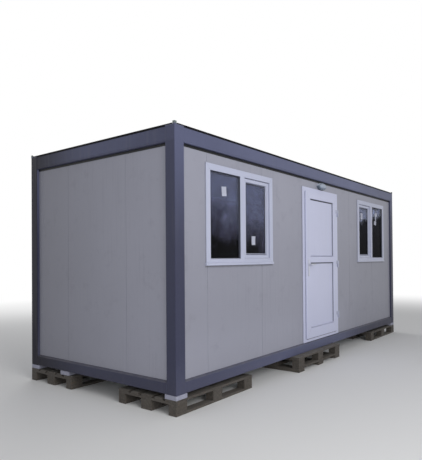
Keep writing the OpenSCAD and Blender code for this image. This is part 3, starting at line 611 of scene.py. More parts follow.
def white_plastic(name, box=None, bar=FRAME_BAR, white=DOOR_WHITE):
    """Cool white plastic profile; a box gives the corners that have a mitre line"""
    plastic = Finish(name, Specular_IOR_Level=0.4)
    colour = plastic.vary(white, plastic.mottle(0.35), 0.035)
    colour, cover = plastic.weathered(colour, 0.04, 0.03, 0.2)
    height = plastic.skin(0.006, 0.25, 0.04)
    if box:
        line = plastic.use(MITRE, Left=box.x0, Right=box.x1, Bottom=box.z0, Top=box.z1, Bar=bar)["Mask"]
        colour = plastic.mix(plastic.times(line, 0.55), colour, GRIME_AND_SHADE_COLOUR)
        height = plastic.minus(height, line)
    return plastic.surface(colour, plastic.step(cover, 0.0, 1.0, 0.36, 0.7), height, 0.0006)


def pane_glass(name, centre_x, lean, reflection_bands, ior):
    """Dark glass with a painted reflection: a dark foot that turns into each band's colour along an uneven
    line
    """
    glass = Finish(name, IOR=ior, Transmission_Weight=0.84)
    place = glass.place()
    x, _, z = glass.parts(place)
    drift = glass.times(glass.minus(glass.noise(place, 3.4, 8.0, 0.72, 0.5), 0.5), 0.9)
    height = glass.plus(z, glass.times(glass.minus(x, centre_x), lean), drift)
    colour = paint(28, 29, 36)
    # Painted reflection: each band's colour above an uneven, leaning line
    for low, high, tint in reflection_bands:
        colour = glass.mix(glass.step(height, low, high), colour, tint)
    smears = glass.mottle(0.09, 5.0)
    return glass.surface(glass.vary(colour, smears, 0.25), glass.step(smears, 0.45, 0.75, 0.0, 0.02))


def rubber(name, colour=paint(27, 28, 36), bloom=0.3, shine=0.5):
    """Rubber, sealant or dark metal with a dusty bloom"""
    seal = Finish(name, Specular_IOR_Level=shine)
    tone, cover = seal.weathered(seal.vary(colour, seal.mottle(0.05, 4.0), 0.3), 0.0, 0.1, bloom)
    return seal.surface(tone, seal.step(cover, 0.0, 1.0, 0.6, 0.9), seal.skin(0.002, 0.05, 0.5), 0.0006)


def zinc(name, colour=paint(176, 181, 186), metal=0.85):
    """Galvanised sheet with its crystals and dull patches"""
    sheet = Finish(name, Metallic=metal)
    crystals = sheet.use(SPANGLE, Size=0.022)
    tone = sheet.vary(colour, crystals["Tone"], 0.10)
    tone = sheet.vary(tone, sheet.mottle(0.6, 4.0), 0.12)
    dull = sheet.step(sheet.mottle(0.11, 5.0), 0.52, 0.68)
    tone = sheet.mix(sheet.times(dull, 0.3), tone, paint(205, 206, 204))
    tone, cover = sheet.weathered(tone, 0.0, 0.1, 0.35)
    rough = sheet.plus(sheet.step(crystals["Tone"], 0.0, 1.0, 0.34, 0.5), sheet.times(cover, 0.4))
    return sheet.surface(tone, rough, crystals["Edge"], 0.0003)


def aluminium(name, colour=paint(196, 198, 210)):
    """Pale coated aluminium with fine drawn lines"""
    metal = Finish(name, Metallic=0.3)
    lines = metal.noise(metal.vector("MULTIPLY", metal.place(), (40.0, 40.0, 900.0)), 1.0, 3.0)
    rough = metal.step(metal.mottle(0.03, 4.0), 0.3, 0.7, 0.36, 0.5)
    return metal.surface(metal.vary(colour, lines, 0.07), rough, lines, 0.0001)


def lamp_plastic():
    """Moulded housing of the lamp, with painted light that makes it paler where it looks up"""
    plastic = Finish("grey_lamp_plastic")
    # Painted light: paler on faces that look up
    up = plastic.step(plastic.parts(plastic.normal())[2], 0.05, 0.55)
    colour = plastic.mix(up, paint(95, 105, 120), paint(190, 198, 214))
    colour = plastic.vary(colour, plastic.mottle(0.04, 4.0), 0.1)
    colour, cover = plastic.weathered(colour, 0.15, 0.0, 0.2)
    rough = plastic.step(cover, 0.0, 1.0, 0.45, 0.8)
    return plastic.surface(colour, rough, plastic.skin(0.0015, 0.03, 0.6), 0.0003)


def lamp_glass():
    """Pale, ribbed glass of the lamp with dust on top"""
    glass = Finish("ribbed_lamp_glass", IOR=1.3, Transmission_Weight=0.3)
    x = glass.parts(glass.place())[0]
    ribs = glass.math("SINE", glass.times(x, 2 * math.pi / LAMP_RIB_STEP))
    dust = glass.use(DUST, Amount=0.4)["Mask"]
    colour = glass.mix(dust, paint(178, 188, 204), paint(196, 200, 206))
    return glass.surface(colour, glass.step(dust, 0.0, 0.6, 0.2, 0.4), ribs, 0.0004)


def vinyl_floor():
    """Speckled floor covering"""
    vinyl = Finish("speckled_floor_vinyl")
    specks = vinyl.noise(vinyl.place(), 160.0, 3.0, 0.7)
    colour = vinyl.mix(vinyl.step(specks, 0.42, 0.6), paint(92, 90, 86), paint(124, 120, 112))
    colour = vinyl.vary(colour, vinyl.mottle(0.5, 4.0), 0.12)
    return vinyl.surface(colour, vinyl.step(vinyl.mottle(0.3), 0.3, 0.7, 0.35, 0.55), specks, 0.0004)


def ceiling_board():
    """Matt white board"""
    board = Finish("matt_white_board")
    colour = board.vary(paint(212, 213, 216), board.mottle(0.6), 0.04)
    rough = board.step(board.mottle(0.05), 0.2, 0.8, 0.7, 0.85)
    return board.surface(colour, rough, board.skin(0.002, 0.4, 0.2), 0.0006)


# The wood colours are darker than greyed pallet wood: partly its weathered grey, partly painted shade under
# the cabin
def sawn_timber(name, stretch, light=paint(70, 67, 66), dark=paint(33, 31, 31)):
    """Greyed pallet wood whose boards differ by their tone attribute"""
    timber = Finish(name)
    wood = timber.use(WOOD, Stretch=stretch)
    board = timber.add("ShaderNodeAttribute", attribute_name="tone").outputs["Fac"]
    colour = timber.mix(timber.step(wood["Tone"], 0.3, 0.72), dark, light)
    colour = timber.vary(colour, board, 0.24)
    grey = timber.step(timber.mottle(0.18, 4.0), 0.4, 0.7, 0.0, 0.55)
    colour = timber.mix(grey, colour, paint(66, 65, 64))
    colour = timber.mix(timber.times(wood["Crack"], 0.7), colour, paint(44, 39, 35))
    colour = timber.mix(timber.times(wood["Knot"], 0.7), colour, paint(66, 52, 41))
    colour, _ = timber.weathered(colour, 0.0, 0.45, 0.25)
    height = timber.minus(wood["Tone"], timber.times(wood["Crack"], 0.8))
    return timber.surface(colour, timber.step(wood["Tone"], 0.2, 0.8, 0.75, 0.92), height, 0.0016)


def packer_stone():
    """Pale, rough cast packer"""
    stone = Finish("pale_cast_packer")
    grains = stone.noise(stone.place(), 120.0, 6.0, 0.75)
    colour = stone.vary(stone.vary(paint(152, 154, 172), stone.mottle(0.05, 5.0), 0.3), grains, 0.25)
    colour, _ = stone.weathered(colour, 0.15, 0.2, 0.2)
    return stone.surface(colour, stone.step(grains, 0.3, 0.7, 0.78, 0.95), grains, 0.003)


def blank_paper():
    """Blank white sticker with soft creases"""
    paper = Finish("blank_white_sticker")
    creases = paper.mottle(0.03)
    colour = paper.vary(paint(172, 175, 190), creases, 0.1)
    return paper.surface(colour, paper.step(creases, 0.3, 0.7, 0.5, 0.65), creases, 0.001)


STEEL = steel_paint()
BLACK_RUBBER = rubber("black_rubber")
DARK_TRIM = rubber("dark_roof_trim", paint(12, 12, 18), 0.02, 0.1)
HEAD_RUBBER = rubber("wall_head_rubber", paint(13, 13, 18), 0.02)
GREY_SEALANT = rubber("grey_sealant", paint(126, 127, 137))
# Grey lining of the window reveals and sash gaps, and pale grey lining of the door panels' reveals: partly
# real glazing wedges, partly painted shade
WINDOW_WEDGE_AND_REVEAL_SHADE = rubber("grey_window_wedge", paint(60, 62, 74), 0.1)
DOOR_WEDGE_AND_REVEAL_SHADE = rubber("pale_door_wedge", paint(118, 121, 136), 0.1)
# Dark spacer, also painted shade at the glass's edges
SPACER_METAL = rubber("dark_spacer", paint(38, 39, 46))
SCREW_ZINC = zinc("zinc_screw", paint(168, 170, 172), 0.8)
RIVET_PAINT = panel_coat("painted_rivets", "Z", 0.0)
WHITE_PLASTIC = white_plastic("white_plastic")
WINDOW_PLASTIC = white_plastic("window_plastic", white=WINDOW_WHITE)
# Glass of each window, with its own painted reflection
WINDOW_GLASS = {
    "left": pane_glass("left_window_tinted_glass", -WINDOW_X, 0.2,
                       [(1.48, 1.76, paint(113, 114, 140)), (1.66, 2.12, paint(166, 172, 200))], 1.1),
    "right": pane_glass("right_window_tinted_glass", WINDOW_X, -0.12,
                        [(1.55, 1.95, paint(50, 53, 66)), (2.06, 2.20, paint(204, 210, 230))], 1.04)}
PAPER = blank_paper()
TIMBER_X = sawn_timber("pallet_timber_lengthwise", (3.0, 70.0, 70.0))
TIMBER_Y = sawn_timber("pallet_timber_crosswise", (70.0, 3.0, 70.0))
TIMBER_BLOCK = sawn_timber("pallet_block_wood", (7.0, 90.0, 90.0), paint(61, 58, 56), paint(30, 29, 28))
PACKER = packer_stone()


# Geometry trees
def geometry_tree(name, inputs):
    """Geometry tree with named inputs, given as their kinds and defaults, and one geometry output"""
    tree = bpy.data.node_groups.new(name, "GeometryNodeTree")
    for label, (kind, value) in inputs.items():
        socket = tree.interface.new_socket(label, in_out="INPUT", socket_type="NodeSocket" + kind)
        if value is not None:
            socket.default_value = value
    tree.interface.new_socket("Geometry", in_out="OUTPUT", socket_type="NodeSocketGeometry")
    graph = Graph(tree)
    return graph, graph.add("NodeGroupInput").outputs, graph.add("NodeGroupOutput").inputs["Geometry"]


def finish_tree(graph, result, geometry, material):
    """Ends a tree in Realize Instances and Set Material"""
    real = graph.first("GeometryNodeRealizeInstances", {"Geometry": geometry})
    graph.put(result, graph.first("GeometryNodeSetMaterial", {"Geometry": real, "Material": material}))
    return graph.tree


def smooth_tree():
    """Smooth faces that keep a hard line at every sharp edge"""
    graph, given, result = geometry_tree("smooth_by_angle", {
        "Geometry": ("Geometry", None), "Sharp angle": ("Float", 0.65)})
    angle = graph.add("GeometryNodeInputMeshEdgeAngle").outputs["Unsigned Angle"]
    sharp = graph.first("FunctionNodeCompare", {0: angle, 1: given["Sharp angle"]}, operation="GREATER_THAN")
    faces = graph.first("GeometryNodeSetShadeSmooth", {"Geometry": given["Geometry"]}, domain="FACE")
    inputs = {"Geometry": faces, "Selection": sharp, "Shade Smooth": False}
    graph.put(result, graph.first("GeometryNodeSetShadeSmooth", inputs, domain="EDGE"))
    return graph.tree


def seal_loop_tree():
    """Round seal that follows a rectangle with rounded corners in X and Z"""
    graph, given, result = geometry_tree("seal_loop", {
        "Width": ("Float", 1.0), "Height": ("Float", 1.0), "Centre": ("Vector", (0.0, 0.0, 0.0)),
        "Corner": ("Float", 0.006), "Radius": ("Float", 0.002), "Material": ("Material", None)})
    inputs = {"Width": given["Width"], "Height": given["Height"]}
    rectangle = graph.first("GeometryNodeCurvePrimitiveQuadrilateral", inputs, mode="RECTANGLE")
    inputs = {"Curve": rectangle, "Radius": given["Corner"], "Count": 4}
    fillet = graph.first("GeometryNodeFilletCurve", inputs, mode="POLY")
    inputs = {"Geometry": fillet, "Translation": given["Centre"], "Rotation": (QUARTER, 0.0, 0.0)}
    upright = graph.first("GeometryNodeTransform", inputs)
    profile = graph.first("GeometryNodeCurvePrimitiveCircle", {"Resolution": 8, "Radius": given["Radius"]})
    tube = graph.first("GeometryNodeCurveToMesh", {"Curve": upright, "Profile Curve": profile})
    return finish_tree(graph, result, tube, given["Material"])


def weld_seam_tree():
    """Uneven bead along each edge of the mesh that it is given"""
    graph, given, result = geometry_tree("weld_seam", {
        "Geometry": ("Geometry", None), "Radius": ("Float", 0.0017), "Step": ("Float", 0.004),
        "Seed": ("Float", 3.0), "Material": ("Material", None)})
    lines = graph.first("GeometryNodeMeshToCurve", {"Mesh": given["Geometry"]})
    inputs = {"Curve": lines, "Length": given["Step"]}
    points = graph.first("GeometryNodeResampleCurve", inputs, mode="LENGTH")
    place = graph.first("GeometryNodeInputPosition")
    ripple = graph.add("ShaderNodeTexNoise", {"Vector": place, "W": given["Seed"], "Scale": 260.0},
                       noise_dimensions="4D").outputs["Fac"]
    size = graph.times(given["Radius"], graph.step(ripple, 0.3, 0.7, 0.85, 1.0))
    uneven = graph.first("GeometryNodeSetCurveRadius", {"Curve": points, "Radius": size})
    profile = graph.first("GeometryNodeCurvePrimitiveCircle", {"Resolution": 6, "Radius": 1.0})
    inputs = {"Curve": uneven, "Profile Curve": profile, "Scale": size, "Fill Caps": True}
    return finish_tree(graph, result, graph.first("GeometryNodeCurveToMesh", inputs), given["Material"])


def fixing_tree():
    """Screw with a washer, or a plain rivet, on each vertex of the mesh that it is given"""
    graph, given, result = geometry_tree("fixings", {
        "Geometry": ("Geometry", None), "Head radius": ("Float", 0.004), "Head height": ("Float", 0.004),
        "Head sides": ("Int", 6), "Washer radius": ("Float", 0.008), "Washer height": ("Float", 0.0012),
        "Turn": ("Rotation", None), "Seed": ("Int", 5), "Material": ("Material", None)})

    def disc(sides, radius, depth, lift):
        inputs = {"Vertices": sides, "Radius": radius, "Depth": depth}
        rod = graph.add("GeometryNodeMeshCylinder", inputs).outputs["Mesh"]
        rise = graph.first("ShaderNodeCombineXYZ", {2: lift})
        return graph.first("GeometryNodeTransform", {"Geometry": rod, "Translation": rise})

    washer = disc(16, given["Washer radius"], given["Washer height"], 0.0)
    lift = graph.times(given["Head height"], 0.5)
    head = disc(given["Head sides"], given["Head radius"], given["Head height"], lift)
    whole = graph.add("GeometryNodeJoinGeometry")
    for part in (washer, head):
        graph.put(whole.inputs[0], part)
    inputs = {0: (0.0, 0.0, 0.0), 1: (0.0, 0.0, 6.28), "Seed": given["Seed"]}
    spin = graph.first("FunctionNodeRandomValue", inputs, data_type="FLOAT_VECTOR")
    own = graph.first("FunctionNodeEulerToRotation", {0: spin})
    turn = graph.first("FunctionNodeRotateRotation", {0: own, 1: given["Turn"]}, rotation_space="GLOBAL")
    inputs = {"Points": given["Geometry"], "Instance": whole.outputs[0], "Rotation": turn}
    return finish_tree(graph, result, graph.first("GeometryNodeInstanceOnPoints", inputs), given["Material"])


def board_row_tree():
    """Row of sawn boards of one size, each a little turned, bowed and rough, with its own tone"""
    graph, given, result = geometry_tree("board_row", {
        "Count": ("Int", 3), "First": ("Vector", (0.0, 0.0, 0.0)), "Step": ("Vector", (0.0, 0.1, 0.0)),
        "Size": ("Vector", (1.0, 0.1, 0.02)), "Cuts X": ("Int", 12), "Cuts Y": ("Int", 4),
        "Turn": ("Float", 0.004), "Rough": ("Float", 0.0025), "Seed": ("Int", 1),
        "Material": ("Material", None)})
    inputs = {"Count": given["Count"], "Start Location": given["First"], "Offset": given["Step"]}
    places = graph.first("GeometryNodeMeshLine", inputs)
    inputs = {"Size": given["Size"], "Vertices X": given["Cuts X"], "Vertices Y": given["Cuts Y"],
              "Vertices Z": 3}
    board = graph.add("GeometryNodeMeshCube", inputs).outputs["Mesh"]
    spread = graph.first("ShaderNodeCombineXYZ", {2: given["Turn"]})
    inputs = {0: graph.scaled(spread, -1.0), 1: spread, "Seed": given["Seed"]}
    turn = graph.first("FunctionNodeRandomValue", inputs, data_type="FLOAT_VECTOR")
    inputs = {"Points": places, "Instance": board, "Rotation": turn}
    copies = graph.first("GeometryNodeInstanceOnPoints", inputs)
    inputs = {2: 0.0, 3: 1.0, "Seed": given["Seed"]}
    tone = graph.add("FunctionNodeRandomValue", inputs, data_type="FLOAT").outputs[1]
    inputs = {"Geometry": copies, "Name": "tone", "Value": tone}
    toned = graph.first("GeometryNodeStoreNamedAttribute", inputs, data_type="FLOAT", domain="INSTANCE")
    real = graph.first("GeometryNodeRealizeInstances", {"Geometry": toned})
    place = graph.first("GeometryNodeInputPosition")
    inputs = {"Vector": place, "W": given["Seed"], "Scale": 7.0, "Detail": 3.0}
    bow = graph.add("ShaderNodeTexNoise", inputs, noise_dimensions="4D").outputs["Color"]
    bow = graph.vector("SUBTRACT", bow, (0.5, 0.5, 0.5))
    inputs = {"Geometry": real, "Offset": graph.scaled(bow, graph.times(given["Rough"], 2.0))}
    return finish_tree(graph, result, graph.first("GeometryNodeSetPosition", inputs), given["Material"])


SMOOTH = smooth_tree()
SEAL_LOOP = seal_loop_tree()
WELD_SEAM = weld_seam_tree()
FIXINGS = fixing_tree()
BOARD_ROW = board_row_tree()


def made_by(tree, start=None, **settings):
    """Plain mesh that a geometry tree makes from a start mesh; a low line in a name is a space"""
    holder = bpy.data.objects.new("holder", start or bpy.data.meshes.new("empty"))
    scene.collection.objects.link(holder)
    modifier = holder.modifiers.new("tree", "NODES")
    modifier.node_group = tree
    wanted = {name.replace("_", " "): value for name, value in settings.items()}
    for socket in tree.interface.items_tree:
        if socket.in_out == "INPUT" and socket.name in wanted:
            modifier[socket.identifier] = wanted.pop(socket.name)
    assert not wanted, "no such inputs: %s" % sorted(wanted)
    holder.update_tag()
    graph = bpy.context.evaluated_depsgraph_get()
    mesh = bpy.data.meshes.new_from_object(holder.evaluated_get(graph))
    bpy.data.objects.remove(holder)
    return mesh


def shade_smooth(item):
    """Shades a piece smooth between its sharp edges"""
    item.modifiers.new("smooth_by_angle", "NODES").node_group = SMOOTH


def soften(item, width, merge=True):
    """Merges a piece's double vertices, rounds its edges by a width where it has one, and shades it smooth"""
    if merge:
        item.modifiers.new("merge", "WELD").merge_threshold = NODE_MERGE
    if not width:
        shade_smooth(item)
        return
    if merge:
        flat = item.modifiers.new("flat_faces", "DECIMATE")
        flat.decimate_type = "DISSOLVE"
        flat.angle_limit = math.radians(0.5)
    edge = item.modifiers.new("round_edges", "BEVEL")
    edge.width = width
    edge.segments = 2
    edge.limit_method = "ANGLE"
    edge.angle_limit = math.radians(40)
    shade_smooth(item)
    item.modifiers.new("flat_sides", "WEIGHTED_NORMAL").keep_sharp = True


def dress(node, material, edge_width):
    """Gives a CAD node its material and its rounded edges"""
    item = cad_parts[node]
    if not item.material_slots:
        item.data.materials.append(material)
    for holder in item.material_slots:
        holder.material = material
    soften(item, edge_width)


def frame_body(side):
    """Box of a window frame without its sill"""
    box = node_box(side + "_window_frame")
    return box._replace(x0=box.x0 + SILL_OVERHANG, x1=box.x1 - SILL_OVERHANG, y0=box.y0 + SILL_PROUD)


# Material, edge rounding and names of the CAD nodes
FRAME_NODES = ["post_front_left", "post_front_right", "post_rear_left", "post_rear_right", "floor_joists"]
FRAME_NODES += ["floor_rail_" + side for side in SIDES] + ["roof_beam_" + side for side in SIDES]
NODE_FINISHES = (
    (STEEL, STEEL_EDGE, FRAME_NODES),
    (zinc("galvanised_sheet"), THIN_EDGE, ["roof_sheet", "roof_purlins", "floor_pan"]),
    (cap_coat(), SOFT_EDGE, ["roof_corner_caps"]),
    (DARK_TRIM, SOFT_EDGE, ["roof_edge_strip"]),
    (HEAD_RUBBER, SOFT_EDGE, ["wall_head_seal"]),
    (vinyl_floor(), SOFT_EDGE, ["floor_deck"]),
    (ceiling_board(), SOFT_EDGE, ["ceiling_panel"]),
    (panel_coat("front_panel_coat", "X", FRONT_LEFT_JOINT, node_box("left_window_frame")),
     STEEL_EDGE, ["front_wall_left", "front_wall_over_door"]),
    (panel_coat("front_right_panel_coat", "X", FRONT_RIGHT_JOINT, node_box("right_window_frame")),
     STEEL_EDGE, ["front_wall_right"]),
    (panel_coat("rear_panel_coat", "X", -PANEL_MODULE / 2), STEEL_EDGE, ["rear_wall"]),
    (panel_coat("end_panel_coat", "Y", -PANEL_MODULE / 2), STEEL_EDGE, ["end_wall_left", "end_wall_right"]),
    (white_plastic("door_panel_plastic"), SOFT_EDGE, ["door_panels"]),
    (white_plastic("hinge_plastic", white=paint(170, 173, 192)),
     SOFT_EDGE, ["door_hinges_frame", "door_hinges_leaf"]),
    (WINDOW_PLASTIC, SOFT_EDGE, ["window_handles"]),
    (aluminium("satin_handle_metal"), HANDLE_EDGE, ["door_handle"]),
    (lamp_plastic(), LAMP_EDGE, ["lamp_base"]),
    (lamp_glass(), 0.0, ["lamp_lens"]),
)
for material, edge_width, nodes in NODE_FINISHES:
    for node in nodes:
        dress(node, material, edge_width)

for node, box, bar, white in (
        ("left_window_frame", frame_body("left"), FRAME_BAR, WINDOW_WHITE),
        ("right_window_frame", frame_body("right"), FRAME_BAR, WINDOW_WHITE),
        ("left_window_sash", node_box("left_window_sash"), SASH_BAR, WINDOW_WHITE),
        ("right_window_sash", node_box("right_window_sash"), SASH_BAR, WINDOW_WHITE),
        ("door_frame", node_box("door_frame"), DOOR_FRAME_BAR, DOOR_WHITE),
        ("door_leaf", node_box("door_leaf"), STILE_W, DOOR_WHITE)):
    dress(node, white_plastic(node + "_plastic", box, bar, white), PROFILE_EDGE)


# Pieces and their meshes
def piece(name, mesh, body="root", material=None, round_by=0.0, smooth=False):
    """Shown piece that rides on a body, with a material when one is given"""
    item = bpy.data.objects.new(name, mesh)
    scene.collection.objects.link(item)
    if material:
        mesh.materials.clear()
        mesh.materials.append(material)
    if round_by or smooth:
        soften(item, round_by, merge=False)
    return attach(item, body)


def mesh_of(bm, name):
    """Plain mesh of what a bmesh holds, which is then freed"""
    mesh = bpy.data.meshes.new(name)
    bm.to_mesh(mesh)
    bm.free()
    return mesh


def joined(meshes):
    """One mesh from several, with their materials and attributes, and with normals that look outwards"""
    holders = [bpy.data.objects.new("part", mesh) for mesh in meshes]
    for holder in holders:
        scene.collection.objects.link(holder)
    if len(holders) > 1:
        with bpy.context.temp_override(active_object=holders[0], selected_editable_objects=holders):
            bpy.ops.object.join()
    mesh = holders[0].data
    bpy.data.objects.remove(holders[0])
    bm = bmesh.new()
    bm.from_mesh(mesh)
    bmesh.ops.remove_doubles(bm, verts=bm.verts, dist=JOINED_MERGE)
    bmesh.ops.recalc_face_normals(bm, faces=bm.faces)
    bm.to_mesh(mesh)
    bm.free()
    return mesh


def keep_inside(mesh, box):
    """Moves vertices that stand out of a box back to its faces"""
    for vertex in mesh.vertices:
        x, y, z = vertex.co
        vertex.co = (min(max(x, box.x0), box.x1), min(max(y, box.y0), box.y1), min(max(z, box.z0), box.z1))
    return mesh


def loose_mesh(points, edges=()):
    """Mesh of loose vertices, and of loose edges between them"""
    mesh = bpy.data.meshes.new("loose")
    mesh.from_pydata([tuple(p) for p in points], list(edges), [])
    return mesh


def block_mesh(boxes, bevel=0.0):
    """Mesh of blocks with bevelled edges"""
    bm = bmesh.new()
    for box in boxes:
        place = Matrix.Translation(middle(box)) @ Matrix.Diagonal((*span(box), 1.0))
        verts = bmesh.ops.create_cube(bm, size=1.0, matrix=place)["verts"]
        if bevel:
            edges = list({edge for vert in verts for edge in vert.link_edges})
            bmesh.ops.bevel(bm, geom=edges, offset=bevel, segments=2, profile=0.6, affect="EDGES")
    return mesh_of(bm, "blocks")


def rim_mesh(box, width, flare=0.0, sides=4):
    """Rim along a box's edges in X and Z, larger in front by a flare, and open at the foot with 3 sides"""
    bm = bmesh.new()
    rings = []
    for y, spread in ((box.y0, flare), (box.y1, 0.0)):
        for inset in (-spread, width - spread):
            x0, x1, z0, z1 = box.x0 + inset, box.x1 - inset, box.z0 + inset, box.z1 - inset
            rings.append([bm.verts.new((x, y, z)) for x, z in ((x0, z0), (x1, z0), (x1, z1), (x0, z1))])
    outer_front, inner_front, outer_back, inner_back = rings
    loops = (outer_front, inner_front, inner_back, outer_back)
    for a, b in zip(loops, loops[1:] + loops[:1]):
        for i in range(4 - sides, 4):
            j = (i + 1) % 4
            bm.faces.new((a[i], a[j], b[j], b[i]))
    if sides < 4:
        for i in (0, 1):
            bm.faces.new([loop[i] for loop in loops])
    bmesh.ops.recalc_face_normals(bm, faces=bm.faces)
    return mesh_of(bm, "rim")


def ramp_mesh(box):
    """Mesh of a bar that slopes down from the back to the front of a box"""
    outline = ((box.y0, box.z0), (box.y1, box.z0), (box.y1, box.z1), (box.y0, box.z0 + CLEARANCE))
    corners = [(x, y, z) for x in (box.x0, box.x1) for y, z in outline]
    faces = [(0, 1, 2, 3), (7, 6, 5, 4)] + [(i, i + 4, (i + 1) % 4 + 4, (i + 1) % 4) for i in range(4)]
    mesh = bpy.data.meshes.new("ramp")
    mesh.from_pydata(corners, [], faces)
    return mesh


def seal_mesh(box, y, radius, material, corner=0.006):
    """Round seal along the edges of a box in X and Z, at one depth"""
    centre = middle(box)
    return made_by(SEAL_LOOP, Width=box.x1 - box.x0, Height=box.z1 - box.z0, Centre=(centre.x, y, centre.z),
                   Corner=corner, Radius=radius, Material=material)


def sight_of(pane, margin=0.0):
    """Part of a pane that shows between its bars, less a margin"""
    return grown(pane, x=-GLASS_SEAT - margin, z=-GLASS_SEAT - margin)


def wedge_mesh(pane, face_y):
    """Glazing wedge on the sloping edge in front of a pane, at its sides and top"""
    front_y = face_y + WEDGE_BACK
    flare = BEAD_SLOPE_W * (pane.y0 - front_y) / (pane.y0 - face_y)
    return rim_mesh(sight_of(pane)._replace(y0=front_y, y1=pane.y0), WEDGE_T, flare, sides=3)


def pane_seal(pane, y):
    """Round seal between a pane and its frame"""
    return seal_mesh(sight_of(pane, CLEARANCE), y, GASKET_R, BLACK_RUBBER, GASKET_CORNER)


def inside_seal(pane):
    """Round seal between a pane and its frame on the room side"""
    return pane_seal(pane, pane.y1 + GASKET_OFF_PANE)


def sealant(name, box):
    """Bead of sealant between a frame's edges and the front wall"""
    wall_y = node_box("front_wall_over_door").y0
    bead = seal_mesh(grown(box, x=CLEARANCE, z=CLEARANCE), wall_y - CLEARANCE, SEALANT_R, GREY_SEALANT)
    piece(name, bead, smooth=True)


# Windows: sealed double glazing behind gaskets, sash seals, weather bars, drain caps, sealant round the frame
PANES = {side: solids(side + "_window_glass") for side in ("left", "right")}


def glaze_window(side):
    """Panes, spacers, seals, wedges, weather bars and sealant of one window"""
    window = frame_body(side)
    sash = node_box(side + "_window_sash")
    fixed, moving = sorted(PANES[side], key=lambda pane: pane.y0)
    sheets = []
    rims = []
    for pane in PANES[side]:
        sheets += [pane._replace(y1=pane.y0 + PANE_T), pane._replace(y0=pane.y1 - PANE_T)]
        gap = pane._replace(y0=pane.y0 + PANE_T, y1=pane.y1 - PANE_T)
        rims.append(rim_mesh(grown(gap, x=-CLEARANCE, z=-CLEARANCE), SPACER_W))
    panes = block_mesh(sheets, PANE_EDGE)
    glass = piece(side + "_window_panes", panes, material=WINDOW_GLASS[side])
    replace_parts(glass, side + "_window_glass")
    piece(side + "_window_spacers", joined(rims), material=SPACER_METAL, round_by=PANE_EDGE)
    light = grown(sash, x=-SASH_OVERLAP, z=-SASH_OVERLAP)
    # Painted shade in the sash gap: a black block at its head and a grey lining along its sides and top; the
    # fixed pane's wedge lines its reveal, partly as painted shade
    gap_floor = light._replace(y0=sash.y0 + SASH_GAP_IN, y1=sash.y0 + SASH_GAP_IN + SASH_GAP_DEPTH)
    head_gap_shade = grown(gap_floor._replace(z0=light.z1 - SASH_GAP), x=-SASH_GAP, z=-SASH_GAP_HEAD_ROOM)
    seals = [inside_seal(fixed), inside_seal(moving), pane_seal(moving, moving.y0 - GASKET_OFF_PANE),
             block_mesh([head_gap_shade])]
    piece(side + "_window_seals_and_gap_shade", joined(seals), material=BLACK_RUBBER, smooth=True)
    wedges = [wedge_mesh(fixed, window.y0), rim_mesh(gap_floor, SASH_GAP - SASH_GAP_SIDE_ROOM, sides=3)]
    piece(side + "_window_wedges_and_reveal_shade", joined(wedges), material=WINDOW_WEDGE_AND_REVEAL_SHADE, smooth=True)
    sight = sight_of(moving)
    bars = [ramp_mesh(sight._replace(y0=sash.y0 + CLEARANCE, y1=moving.y0, z1=sight.z0 + SASH_BEAD_H)),
            ramp_mesh(light._replace(y0=window.y0 + CLEARANCE, y1=sash.y0, z1=light.z0 + WEATHER_BAR_H))]
    piece(side + "_window_weather_bars", joined(bars), material=WINDOW_PLASTIC, round_by=BAR_EDGE)
    sealant(side + "_window_sealant", window)


def drain_caps():
    """Small covers, as over drain slots, on the lower bar of each window frame"""
    boxes = []
    for side, panes in PANES.items():
        window = frame_body(side)
        z = window.z0 + SILL_H + DRAIN_CAP_LIFT
        for pane in panes:
            for share in DRAIN_CAP_SHARES:
                x = pane.x0 + share * (pane.x1 - pane.x0)
                boxes.append(Box(x - DRAIN_CAP_W / 2, x + DRAIN_CAP_W / 2, window.y0 - DRAIN_CAP_T,
                                 window.y0 + CLEARANCE, z, z + DRAIN_CAP_H))
    piece("window_drain_caps", block_mesh(boxes, DRAIN_CAP_EDGE), material=WINDOW_PLASTIC)


glaze_window("left")
glaze_window("right")
drain_caps()


def sticker(name, side, number, x, z, width, height, lean, tail=0.0):
    """Blank sticker on a pane, by its middle, size, lean in degrees and torn tail; one corner is loose"""
    pane_y = PANES[side][number].y0
    bm = bmesh.new()
    bmesh.ops.create_grid(bm, x_segments=6, y_segments=8, size=0.5)
    turn = Matrix.Rotation(math.radians(lean), 3, "Y")
    for vert in bm.verts:
        u, v = vert.co.x, vert.co.y
        curl = PAPER_CURL * max(0.0, u + v - CURL_START) ** 2 / CURL_LENGTH_SQUARED
        flat = Vector((u * width, 0.0, v * height))
        vert.co = turn @ flat + Vector((x, pane_y - PAPER_OFF_PANE - curl, z))
    if tail:
        for vert in bmesh.ops.create_grid(bm, x_segments=2, y_segments=6, size=0.5)["verts"]:
            u, v = vert.co.x, vert.co.y
            drop = (0.5 - v) * tail
            flat = Vector((u * width * TAIL_WIDTH - drop * TAIL_SLANT, 0.0, -height / 2 - drop))
            vert.co = flat + Vector((x, pane_y - TAIL_OFF_PANE - TAIL_CURL * (0.5 - v) ** 2, z))
    skin = piece(name, mesh_of(bm, name), material=PAPER).modifiers.new("paper", "SOLIDIFY")
    skin.thickness = PAPER_T
    skin.offset = 0.0


sticker("left_fixed_pane_sticker", "left", 0, -2.224, 2.144, 0.078, 0.100, -5.0)
sticker("left_sash_sticker", "left", 1, -1.667, 1.643, 0.072, 0.100, 0.0)
sticker("right_sash_sticker", "right", 0, 1.575, 2.146, 0.080, 0.104, 3.0)
sticker("right_fixed_pane_sticker", "right", 1, 2.205, 2.210, 0.092, 0.060, -6.0, tail=0.12)
sticker("right_fixed_pane_torn_piece", "right", 1, 2.168, 2.058, 0.100, 0.066, 8.0)

